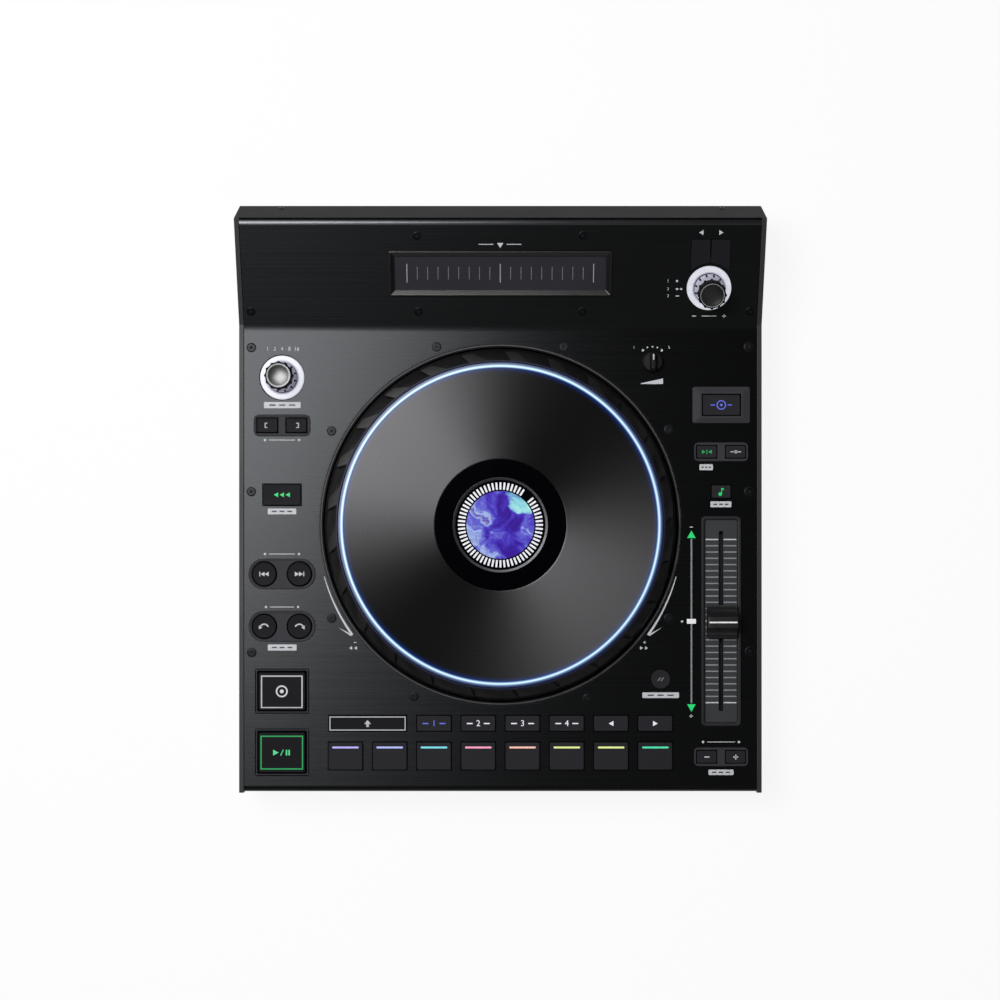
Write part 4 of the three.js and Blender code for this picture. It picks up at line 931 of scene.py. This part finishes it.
def encoder_ring(name, surface, centre, node):
    """The lit ring, the black sheets of painted shade below and round it, and the pale edge inside it."""
    def part(suffix, finish, count, profile, crease=35, stands_for=None):
        shape = turned(surface, centre, profile, count, closed=True)
        add_piece(name + suffix, shape, finish, crease, stands_for)

    part("", RING_LIGHT, 96, [
        (10.3, -3.4), (15.3, -3.4), (15.3, -1.9), (13.4, -1.9), (13.35, 0.5), (13.2, 0.85), (12.9, 1.0),
        (10.7, 1.0), (10.4, 0.9), (10.3, 0.6),
    ], 40, node)
    # The shield and the border are flat black sheets of painted shade below the panel, which also hide the lit
    # flange.
    part("_shield", PAINTED_SHADE_BLACK, 48, [(4.6, -3.2), (10.1, -3.2), (10.1, -2.8), (4.6, -2.8)])
    part("_border", PAINTED_SHADE_BLACK, 96, [
        (13.5, -1.85), (15.35, -1.85), (15.35, -3.3), (15.45, -3.3), (15.45, -1.65), (13.5, -1.65),
    ])
    part("_inner", KNOB_SKIRT, 72, [
        (9.45, -0.6), (10.35, -0.6), (10.35, 0.5), (10.2, 0.62), (9.6, 0.45), (9.45, 0.3),
    ])


def encoder_knob(name, surface, centre, node):
    """A pale skirt with dark studs round its foot, under a lobed black cap with a dished top."""
    def part(suffix, finish, shape, crease=35, stands_for=None):
        add_piece(name + suffix, shape, finish, crease, stands_for, node)

    def stud(i):
        u, v = spun(STUD_RADIUS, 0, 2 * pi * (i + 0.5) / RIBS)
        profile = [(0.6, 1.35), (0.75, 1.5), (0.75, 2.6), (0.65, 3.4), (0.4, 4.2), (0.05, 4.6)]
        return turned(surface, (centre[0] + u, centre[1] + v), profile, 14)

    def ring(radius, rise):
        return circle_ring(surface, centre, radius, rise, CAP_STEPS)

    def lobed(reach):
        return lambda step: reach + 0.7 * max(0.0, cos(2 * pi * RIBS * step / CAP_STEPS)) ** 0.7

    skirt = [(3.3, 1.3), (9.15, 1.3), (9.15, 2.0), (8.6, 3.2), (8.1, 3.8), (7.9, 10.6), (7.6, 11.0),
             (3.3, 11.0)]
    part("_skirt", KNOB_SKIRT, turned(surface, centre, skirt, 72, closed=True), stands_for=node)
    part("_studs", KNOB_RUBBER, merged(stud(i) for i in range(RIBS)))
    body = [(7.7, 11.0), (7.95, 11.2), (8.05, 11.5), (8.05, 17.9), (7.97, 18.12), (7.75, 18.26)]
    rings = [ring(3.3, 12.0), ring(3.3, 11.0)] + [ring(lobed(reach), rise) for reach, rise in body]
    part("_cap", KNOB_BODY, loft(rings + [ring(7.25, 18.3), ring(7.25, 17.3)]), 50)
    dish = [(0, 17.32), (6.95, 17.32), (6.95, 18.4)]
    dish += [(r, 17.57 + r * r / 50) for r in (6.5, 6.0, 5.25, 4.5, 3.75, 3.0, 2.25, 1.5, 0.75, 0)]
    part("_dish", KNOB_CAP, turned(surface, centre, dish, 72), 50)
    # The lip's pale grey is partly a painted highlight, standing in for the light that its edge catches.
    lip = [(6.85, 18.2), (7.22, 18.2), (7.25, 18.5), (7.17, 18.64), (7.05, 18.66), (6.93, 18.62), (6.86, 18.5)]
    part("_lip", KNOB_LIP_HIGHLIGHT, turned(surface, centre, lip, 96, closed=True), 50)


ENCODERS = (("loop", deck, middle("loop_light_ring")), ("select", slope, (127, 22.8)))
for encoder, place, spot in ENCODERS:
    encoder_ring(f"{encoder}_ring", place, spot, f"{encoder}_light_ring")
for encoder, place, spot in ENCODERS:
    encoder_knob(f"{encoder}_dial", place, spot, f"{encoder}_knob")
softened("wheel_adjust_knob", 0.25, "adjust_dial", KNOB_RUBBER)


# Pitch fader: a rounded frame round a sunken plate, and a cap with two finger slopes

FADER, FADER_WIDTH, FADER_DEPTH = extent("fader_plate")
FADER_FLOOR = -0.6
FADER_TRAVEL = 100
SLOT_WIDTH = 2.7
SLOT_LENGTH = FADER_DEPTH - 18.4
CAP_WIDTH = 18.2
CAP_DEPTH = 20.1
CAP_LOW = 1.9
CAP_TOP = 11.9
CAP_RIDGE = 3.2
CAP_FALL = 7
CAP_EDGE = 0.5


def fader_frame():
    def rings(profile):
        return nested(deck, FADER, FADER_WIDTH, FADER_DEPTH, profile)

    def slot(*rises):
        return nested(deck, FADER, SLOT_WIDTH, SLOT_LENGTH, [(0, rise, 0.6) for rise in rises])

    top, plate_top = 1.2, FADER_FLOOR + 0.1
    rim = [(1.6, -5, 1), (1.6, 0.1, 1), (0, 0.1, 2.6), (0, 0.75, 2.6)]
    rim += [(inset, top + down, 2.6 - inset) for inset, down in rounded_edge(0.45)]
    rim += [(1.6, top, 1.5), (1.95, 0.95, 1.3), (2.2, FADER_FLOOR, 1.2)]
    shape = loft(rings(rim) + slot(FADER_FLOOR, -5), closed=True)
    add_piece("fader_frame", shape, FADER_RIM, 40, "fader_plate")
    plate = rings([(2.5, FADER_FLOOR, 0.8), (2.5, plate_top, 0.8)]) + slot(plate_top, FADER_FLOOR)
    add_piece("fader_floor", loft(plate, closed=True), FADER_PLASTIC)


def fader_cap():
    """The side view of the cap, drawn across its width with rounded ends, and its stem."""
    end, steps = CAP_DEPTH / 2, 8
    rear = []
    for step in range(steps + 1):
        share = step / steps
        rear.append((CAP_RIDGE + (end - CAP_RIDGE) * share, CAP_TOP - CAP_FALL * sin(share * pi / 2)))
    outline = [(-end, CAP_LOW), (end, CAP_LOW)] + rear[::-1] + [(-v, rise) for v, rise in rear]
    level = (CAP_LOW + CAP_TOP) / 2

    def ring(u, shrink):
        scale_v = 1 - shrink / end
        scale_rise = 1 - shrink / (CAP_TOP - level)
        return [deck.point(FADER[0] + u, FADER[1] + v * scale_v, level + (rise - level) * scale_rise)
                for v, rise in outline]

    half = CAP_WIDTH / 2
    steps_in = [(0, CAP_EDGE), (0.15, 0.15), (CAP_EDGE, 0)]
    rings = [ring(-half + inset, shrink) for inset, shrink in steps_in]
    rings += [ring(half - inset, shrink) for inset, shrink in steps_in[::-1]]
    stem_low = box("fader_cap")[0].z - DECK_HEIGHT
    stem = nested(deck, FADER, 1.7, 6, [(0, stem_low, 0.3), (0, CAP_LOW + 1, 0.3)])
    shape = merged([loft(rings), loft(stem)])
    add_piece("fader_grip", shape, FADER_CAP, 30, "fader_cap", "fader_cap")
    line = Ink("fader_cap_line", BRIGHT_INK, "fader_cap", "knob_plastic", FADER, CAP_TOP)
    line.bar(0, 0, CAP_WIDTH - 1.2, 0.9).build()


fader_frame()
fader_cap()


# Touch strip: a glossy plate in a frame whose inner sides slope down to it; the front one faces the light

STRIP_CENTRE = (0, 32.2)
STRIP_DEPTH = 27.6
TOUCH_SIZE = (127.6, 20.2)
TOUCH_TOP = 0.55


def touch_strip():
    width = extent("needle_drop_strip")[1]
    profile = [(2.2, -2.4, 0.4), (2.2, 0.1, 0.4), (0, 0.1, 1.1), (0, 1.5, 1.1), (0.12, 1.78, 1.0),
               (0.4, 1.9, 0.8), (0.75, 1.9, 0.5), (0.95, 1.8, 0.4), (3.3, TOUCH_TOP, 0.3), (3.4, 0.4, 0.3)]
    shape = loft(nested(slope, STRIP_CENTRE, width, STRIP_DEPTH, profile, 4))
    add_piece("strip_frame", shape, STRIP_PLASTIC, 25, "needle_drop_strip")
    shape = loft(nested(slope, STRIP_CENTRE, *TOUCH_SIZE, [(0, 0.42, 0.5), (0, TOUCH_TOP, 0.5)], 3))
    add_piece("touch_plate", shape, TOUCH_FILM)


touch_strip()


def key_lips():
    """A thin raised lip along each surround's edge, rounder than the frame under it."""
    profile = [(0.0, 0.2), (0.0, 0.6), (0.12, 0.75), (0.35, 0.82), (0.75, 0.82), (0.95, 0.75), (1.05, 0.6),
               (1.05, 0.2)]
    shapes = []
    for first, second, width, depth, corner in PAIRS:
        (u1, v1), (u2, v2) = middle(first), middle(second)
        steps = [(inset, rise, corner - inset) for inset, rise in profile]
        rings = nested(deck, ((u1 + u2) / 2, (v1 + v2) / 2), width, depth, steps, 8)
        shapes.append(loft(rings, closed=True))
    add_piece("key_lips", merged(shapes), FRAME_PLASTIC)


def bent_rear_edge():
    """The sheet's rear edge, bent over the wall's rim in a lighter copy of the panel's metal that paints its
    highlight brighter, with a black band of painted shade over the gap behind it.
    """
    low, high = box("top_panel")
    profile = [(61.7, -0.6), (61.7, 0.03), (62.3, 0.34), (63.0, 0.6), (63.6, 0.7), (64.3, 0.72), (64.8, 0.68),
               (65.05, 0.6), (65.05, -0.6)]
    shape = loft([[slope.point(u, v, rise) for v, rise in profile] for u in (low.x, high.x)])
    add_piece("bent_rear_edge", shape, BENT_EDGE_HIGHLIGHT, 60)
    # Painted shade: a black band on the rim and down the top of the rear wall, where the gap lies.
    gap = Ink("rear_gap_shade", PAINTED_SHADE_BLACK, surface=slope)
    gap.bar(0, 65.42, high.x - low.x, 0.75, lift=0.6)
    gap.surface = rear_wall
    gap.bar(0, 0.75, high.x - low.x, 1.5).build()


key_lips()
bent_rear_edge()


# Screws: domed heads with a hexagon socket; those of the panel have a painted shadow ring round the head and
# painted shade in the socket

SCREWS_ON_DECK = [(-152.6, 92.8), (-152.6, 4.5), (-152.3, -94.0), (-103.4, 41.7), (-103.3, -73.0),
                  (103.0, -73.0), (-52.9, -121.0), (53.2, -121.9), (-39.1, 93.2), (39.0, 93.3),
                  (103.0, 42.8), (151.8, 93.3), (152.1, 4.7), (152.6, -93.1)]
SCREWS_ON_SLOPE = [(-152.4, 8.4), (-50.1, 8.4), (50.1, 8.4), (152.6, 8.4), (-50.4, 55.1), (49.6, 55.3)]
SCREWS_ON_REAR = [rear_wall.seen(px, 208.6) for px in (281.5, 722)]
SCREWS_ON_BASE = [(x, y) for x in (-142, 0, 142) for y in (-118, 0, 118)]
SCREW_STEPS = 24


def screws(name, places, surface, proud=0.28, radius=2.55):
    socket = 0.47 * radius

    def hexagon(step):
        corner = step % (SCREW_STEPS // 6) - SCREW_STEPS / 12
        return socket / cos(2 * pi * corner / SCREW_STEPS)

    profile = [(radius, 0.0), (radius, 0.6 * proud), (radius - 0.15, 0.9 * proud), (radius - 0.4, proud),
               (1.25 * socket, proud), (hexagon, 0.95 * proud), (hexagon, 0.06)]
    heads = [loft([circle_ring(surface, place, reach, rise, SCREW_STEPS) for reach, rise in profile])
             for place in places]
    add_piece(name, merged(heads), SCREW_STEEL, 40)


def screw_shades():
    # Painted shade: a dark ring round each head, and a dark hexagon deep in each socket.
    dark = Ink("screw_shades", SCREW_SHADE_INK)
    for surface, places in ((deck, SCREWS_ON_DECK), (slope, SCREWS_ON_SLOPE)):
        dark.surface = surface
        for u, v in places:
            dark.arc(u, v, 2.72, 0.45, count=28).disc(u, v, 1.15, 6, lift=0.06)
    dark.build()


screws("panel_screws", SCREWS_ON_DECK, deck)
screws("slope_screws", SCREWS_ON_SLOPE, slope)
screws("rear_screws", SCREWS_ON_REAR, rear_wall, 0.5, 1.7)
screws("base_screws", SCREWS_ON_BASE, underside, 0.8, 2.9)
screw_shades()

# Feet: rubber discs with a moulded groove and a rounded rim
FOOT_PROFILE = [(0, 6), (13, 6), (13, 1.6), (12.8, 0.9), (12.4, 0.35), (11.8, 0), (9.2, 0), (9.0, 0.5),
                (8.2, 0.5), (8.0, 0), (4, 0), (3.8, 1.4), (0, 1.4)]
for foot in ("foot_front_left", "foot_front_right", "foot_rear_left", "foot_rear_right"):
    pad = turned(table, middle(foot), FOOT_PROFILE, 64)
    add_piece(f"{foot}_pad", pad, FOOT_RUBBER, 40, foot)


# Printed marks on the panel. No words: plain numbers, arrows, bars and dots stand in their places.

LINE = 0.45
SWEEP_RADIUS = 183.3


def sweep_arrow(ink, side):
    """The tapering arrow that follows the wheel's edge on one side, with a swept-back barb."""
    start, end, steps = radians(196.4), radians(216.7), 14
    inner, outer = [], []
    for step in range(steps + 1):
        share = step / steps
        half = 0.25 + 0.45 * share
        for line, reach in ((inner, -half), (outer, half)):
            u, v = spun((SWEEP_RADIUS + share) * PIXEL + reach, 0, start + (end - start) * share)
            line.append((-side * u, v))
    tip_u, tip_v = outer[-1]
    barb = [(0, 0), (0.6, -0.1), (8.2, 5.2), (1.2, 1.5)]
    ink.at(500.2, 524.9).strip(inner, outer).patch(tip_u, tip_v, [(side * u, v) for u, v in barb])


def panel_marks():
    white = Ink("panel_print", WHITE_INK)
    knockout = Ink("panel_print_dark", DARK_INK)

    def label(px, py, width, height):
        """A white label bar with three dark dashes in it."""
        white.at(px, py).bar(0, 0, width * PIXEL, height * PIXEL, 0.5)
        for i in (-1, 0, 1):
            knockout.at(px, py).bar(i * width * PIXEL * 0.27, 0, width * PIXEL * 0.17, 0.8, lift=FILM)

    def arrow(px, py, turn, size=3.6, surface=deck):
        white.at(px, py, surface).triangle(0, 0, size * PIXEL, size * PIXEL * 0.85, turn)

    def rule(px, py, width):
        """A short line between two dots."""
        white.at(px, py).bar(0, 0, (width - 8) * PIXEL, LINE)
        for side in (-1, 1):
            white.disc(side * width / 2 * PIXEL, 0, 0.75, 12)

    for i, text in enumerate(("1", "2", "4", "8", "16")):
        white.at(267.5 + 7.3 * i, 349).number(text, 3.3)
    for place in ((282.3, 405.1, 36.6, 6.2), (282.0, 511.4, 28.5, 5.8), (282.2, 647.5, 28.8, 6.1),
                  (706.2, 467.2, 13.4, 5.9), (720.9, 504.3, 21, 5.8), (660.6, 695.2, 36.6, 5.6),
                  (721.0, 772.3, 25, 5.5)):
        label(*place)
    for place in ((282, 440, 34), (282, 554, 34), (282, 607, 32), (721, 742, 36)):
        rule(*place)

    # Round the wheel adjust knob
    white.at(634, 347.5).number("1", 2.4)
    white.at(669, 347.5).number("5", 2.4)
    for px, py, radius in [(642.9, 350.3, 0.75), (647.3, 347.5, 0.5), (652.5, 346.8, 0.5), (657.3, 347.6, 0.5),
                           (661.8, 350.3, 0.75)]:
        white.at(px, py).disc(0, 0, radius, 12)
    white.at(641, 384).patch(0, 0, [(0, 0), (22 * PIXEL, 0), (22 * PIXEL, 3.4), (0, 0.5)])

    # Beside the wheel
    for px, turn in ((350.5, pi), (355.5, pi), (641.6, 0), (646.6, 0)):
        arrow(px, 648, turn)
    white.at(355.1, 642.4).bar(0, 0, 1.7, LINE)
    white.at(644.6, 642.4).plus(1.7, LINE)
    sweep_arrow(white, -1)
    sweep_arrow(white, 1)

    # On the slope
    arrow(701.3, 232.5, pi, 5.0, slope)
    arrow(721.4, 232.5, 0, 5.0, slope)
    arrow(500.2, 245.5, -pi / 2, 6.0, slope)
    for px in (486, 514):
        white.at(px, 244.3, slope).bar(0, 0, 9, LINE)
    for i, (py, dots) in enumerate([(281, 1), (289, 2), (296, 0)]):
        white.at(668, py, slope).number(str(i + 1), 2.6)
        for j in range(dots):
            white.at(677 + 4 * j, py, slope).disc(0, 0, 0.7, 12)
        if not dots:
            white.at(677.5, py, slope).bar(0, 0, 2.4, 0.6)
    white.at(694, 316, slope).bar(0, 0, 2.4, 0.6)
    white.at(724, 316, slope).plus(2.4, 0.6)
    white.at(709, 316, slope).bar(0, 0, 9, LINE)
    white.build()
    knockout.build()


def fader_marks():
    """The lines across the fader's plate, and the scale beside it."""
    def ink_for(name, finish, rise=0.0):
        return Ink(name, finish, "chassis", "fader_plastic", FADER, rise)

    thin = ink_for("fader_lines", GREY_INK, FADER_FLOOR + 0.1)
    strong = ink_for("fader_main_lines", WHITE_INK, FADER_FLOOR + 0.1)
    count = 27
    length = (FADER_WIDTH - 5.2) / 2 - SLOT_WIDTH / 2 - 0.35
    offset = SLOT_WIDTH / 2 + 0.25 + length / 2
    for i in range(count):
        ink = strong if i in (0, count // 2, count - 1) else thin
        for side in (-1, 1):
            ink.bar(side * offset, FADER_TRAVEL * (0.5 - i / (count - 1)), length, 0.75)
    thin.rise = strong.rise = 0.0
    scale_top, scale_low = deck.seen(691.4, 539)[1], deck.seen(691.4, 703)[1]
    thin.at(691.4, (539 + 703) / 2).bar(0, 0, 1.0, scale_top - scale_low)
    ink_for("fader_zero", BRIGHT_INK).at(691.4, 621.3).bar(0, 0, 5.6, 2.9, 0.4, lift=FILM).build()
    strong.at(682, 621.5).disc(0, 0, 0.7, 12)
    strong.at(691.2, 527).bar(0, 0, 1.9, 0.6)
    strong.at(691.2, 716).plus(1.9, 0.6)
    thin.build()
    strong.build()
    arrows = ink_for("fader_arrows", GREEN_LIGHT)
    arrows.at(691.4, 534.3).triangle(0, 0, 5.2, 4.6, pi / 2)
    arrows.at(691.4, 708).triangle(0, 0, 5.2, 4.6, -pi / 2).build()


def strip_marks():
    ticks = Ink("strip_ticks", FAINT_INK, "chassis", "strip_plastic", rise=TOUCH_TOP)
    main = Ink("strip_main_ticks", TICK_INK, "chassis", "strip_plastic", rise=TOUCH_TOP)
    count = 19
    for i in range(count):
        major = i in (0, count // 2, count - 1)
        ink = (main if major else ticks).at(406.9 + i * 10.37, 273.2, slope)
        ink.bar(0, 0, 0.55 if major else 0.4, 11.6 if major else 7.8)
    ticks.build()
    main.build()


panel_marks()
fader_marks()
strip_marks()


# Marks and lamps on the keys

PAD_LIGHTS = [(184, 176, 255), (180, 190, 255), (120, 226, 240), (255, 160, 190), (255, 196, 180),
              (226, 240, 150), (232, 240, 150), (70, 226, 172)]


def key_mark(name, finish, piece=None):
    """The ink of a key's mark, placed from the middle of its dished top."""
    return Ink(piece or f"{name}_mark", finish, name, "key_plastic", middle(name), KEY_TOP - KEY_DISH)


def lamp_marks():
    """The keys that are lit, each by its own lamp."""
    for i, tone in enumerate(PAD_LIGHTS):
        name = f"pad_{i + 1}"
        width, depth = key_place(name)[1:]
        ink = key_mark(name, lit(f"pad_light_{i + 1}", tone, 1.0))
        ink.bar(0, depth / 2 - 3, width - 4.6, 1.15, 0.5, lift=0.02).build()
    for i in range(4):
        ink = key_mark(f"mode_{i + 1}", WHITE_LIGHT if i else VIOLET_LIGHT).number(str(i + 1), 5.2)
        ink.pair(5.2, 0, 3.6, 0.7).build()
    for name, turn in (("page_left", pi), ("page_right", 0)):
        key_mark(name, WHITE_LIGHT).triangle(0, 0, 3.2, 2.9, turn).build()
    width, depth = key_place("shift")[1:]
    ink = key_mark("shift", SOFT_WHITE_LIGHT).frame(0, 0, width - 0.7, depth - 0.7, 0.6, 0.06)
    ink.triangle(0, 0.9, 4.2, 2.4, pi / 2).bar(0, -1.2, 1.6, 1.8).build()
    key_mark("cue", SOFT_WHITE_LIGHT).frame(0, -0.35, 25.6, 20.1, 0.8).build()
    key_mark("cue", CUE_LIGHT, "cue_ring").arc(0, 0, 3.2, 0.9, count=36).disc(0, 0, 1.2).build()
    key_mark("play", DIM_GREEN).frame(0, 0, 26.2, 20.8, 0.8).build()
    ink = key_mark("play", PLAY_LIGHT, "play_symbol").triangle(-3.6, 0, 3.6, 3.4)
    ink.bar(0.1, 0, 0.5, 4.0, 0, -0.45).bar(2.9, 0, 0.9, 3.4).bar(4.5, 0, 0.9, 3.4).build()
    ink = key_mark("censor", GREEN_LIGHT)
    for u in (-3.6, 0, 3.6):
        ink.triangle(u, 0, 2.9, 2.7, pi)
    ink.build()
    ink = key_mark("vinyl", VIOLET_LIGHT).arc(0, 0, 2.6, 0.6, count=32).disc(0, 0, 0.8, 16)
    ink.pair(5.2, 0, 2.6, 0.6).build()
    ink = key_mark("sync", DIM_GREEN).triangle(-1.9, 0, 2.4, 2.2).triangle(1.9, 0, 2.4, 2.2, pi)
    ink.bar(0, 0, 0.45, 2.8).build()
    ink = key_mark("key_lock", GREEN_LIGHT).disc(-0.7, -1.5, 1.05, 16)
    ink.bar(0.2, 0.3, 0.45, 3.8).bar(0.9, 1.7, 1.5, 0.7, 0, -0.6).build()


def ink_marks():
    """The keys that are only printed; the two of a pair mirror each other."""
    for name, side in (("loop_in", -1), ("loop_out", 1)):
        ink = key_mark(name, WHITE_INK).bar(side * 1.3, 0, 0.55, 3.2)
        ink.bar(side * 0.5, -1.35, 1.3, 0.5).bar(side * 0.5, 1.35, 1.3, 0.5).build()
    for name, side, turn in (("skip_back", -1, pi), ("skip_forward", 1, 0)):
        ink = key_mark(name, WHITE_INK).triangle(side * -1.5, 0, 2.9, 2.5, turn)
        ink.triangle(side, 0, 2.9, 2.5, turn).bar(side * 2.7, 0, 0.55, 2.9).build()
    for name, side in (("jump_back", -1), ("jump_forward", 1)):
        ink = key_mark(name, WHITE_INK).arc(0, -1.3, 2.7, 0.8, radians(25), radians(155))
        ink.triangle(side * 2.7, -0.9, 2.5, 2.0, radians(-90 + side * 28)).build()
    key_mark("master", WHITE_INK).bar(0, 0, 6.4, 0.6).disc(0, 0, 1.0, 16).build()
    key_mark("slip", GREY_INK).bar(-1, 0, 2.6, 0.55, 0, 0.9).bar(1, 0, 2.6, 0.55, 0, 0.9).build()
    key_mark("bend_minus", WHITE_INK).bar(0, 0, 3.1, 0.75).build()
    key_mark("bend_plus", WHITE_INK).plus(3.1, 0.75).build()
    knob = "wheel_adjust_knob"
    top = box(knob)[1].z - DECK_HEIGHT
    Ink("adjust_pointer", WHITE_INK, knob, "knob_plastic", middle(knob), top).bar(0, 2.4, 0.8, 3.6).build()


lamp_marks()
ink_marks()


# Stage, light and camera

FLOOR_RADIUS = 12000
FLOOR_CURVE = 1200
FLOOR_STEPS = 96
BACKDROP_HEIGHT = 1700
FLOOR_PAPER = (0.86, 0.86, 0.86, 1)
FLOOR_CLEAR = 0.9


def floor_paper():
    """Paper that the camera, and what mirrors it, sees almost white."""
    material = bpy.data.materials.new("floor_paper")
    paper = Tree(material)
    paper.tree.nodes.clear()
    rays = paper.add("LightPath").outputs
    seen = paper.math("MAXIMUM", rays["Is Camera Ray"], rays["Is Glossy Ray"])
    seen = paper.math("MAXIMUM", seen, rays["Is Transmission Ray"])
    diffuse = paper.add("BsdfDiffuse", {"Color": FLOOR_PAPER}).outputs[0]
    white = paper.add("Emission", {"Strength": 1.0}).outputs[0]
    inputs = {"Fac": paper.math("MULTIPLY", seen, FLOOR_CLEAR), 1: diffuse, 2: white}
    paper.add("OutputMaterial", {"Surface": paper.add("MixShader", inputs).outputs[0]})
    return material


def floor():
    """Pale and plain: the camera sees it close to white, with the object's soft shadow.

    Far out it curves up into a low round backdrop, so that no side view looks past its edge.
    """
    turns = [pi / 2 * step / 8 for step in range(9)]
    profile = [(FLOOR_RADIUS - FLOOR_CURVE * (1 - sin(turn)), FLOOR_CURVE * (1 - cos(turn))) for turn in turns]
    profile.append((FLOOR_RADIUS, BACKDROP_HEIGHT))
    rings = [circle_ring(table, (0, 0), radius, rise, FLOOR_STEPS) for radius, rise in profile]
    points, faces = loft(rings, caps=False)
    faces.append(tuple(range(FLOOR_STEPS)))
    mesh = bpy.data.meshes.new("floor")
    mesh.from_pydata([tuple(point) for point in points], [], faces)
    linked("floor", mesh, floor_paper())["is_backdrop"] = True


def studio_world():
    """A dark room with two soft pale places: low behind the object at the left, and high in front of it."""
    world = bpy.data.worlds.new("studio")
    scene.world = world
    room = Tree(world)
    place = room.add("TexCoord").outputs["Generated"]

    def pale_place(direction, stops):
        facing = room.vector("DOT_PRODUCT", place, Vector(direction).normalized())
        return room.blend(facing, [(spot, (level, level, level, 1)) for spot, level in stops])

    rear = pale_place((-0.7, 0.6, -0.38), [(0.0, 0.012), (0.5, 0.16), (0.94, 0.8)])
    front = pale_place((0.25, -0.62, 0.75), [(0.8, 0.0), (0.91, 0.13), (1.0, 0.26)])
    room.put(room.tree.nodes["Background"].inputs["Color"], room.mix(1.0, rear, front, "ADD"))


def softbox(name, place, target, size, power):
    """A square light, placed in metres."""
    light = bpy.data.lights.new(name, "AREA")
    light.shape = "RECTANGLE"
    light.size = light.size_y = size
    light.energy = power
    obj = bpy.data.objects.new(name, light)
    obj.location = place
    obj.rotation_euler = (Vector(target) - Vector(place)).to_track_quat("-Z", "Y").to_euler()
    scene.collection.objects.link(obj)


def camera():
    lens = bpy.data.cameras.new("camera")
    lens.sensor_width = SENSOR
    lens.lens = SENSOR * CAMERA_RISE / (PHOTO_SIZE * PIXEL)
    obj = bpy.data.objects.new("camera", lens)
    obj.location = EYE * MM
    scene.collection.objects.link(obj)
    scene.camera = obj


floor()
studio_world()
softbox("key_light", (-0.43, 0.285, 1.35), (-0.05, 0.03, 0.05), 0.66, 21.5)
camera()
scene.view_settings.view_transform = "Standard"


def corners(box):
    return [list(corner) for corner in box]


{"cad": corners(cad_box), "visual": corners(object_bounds())}
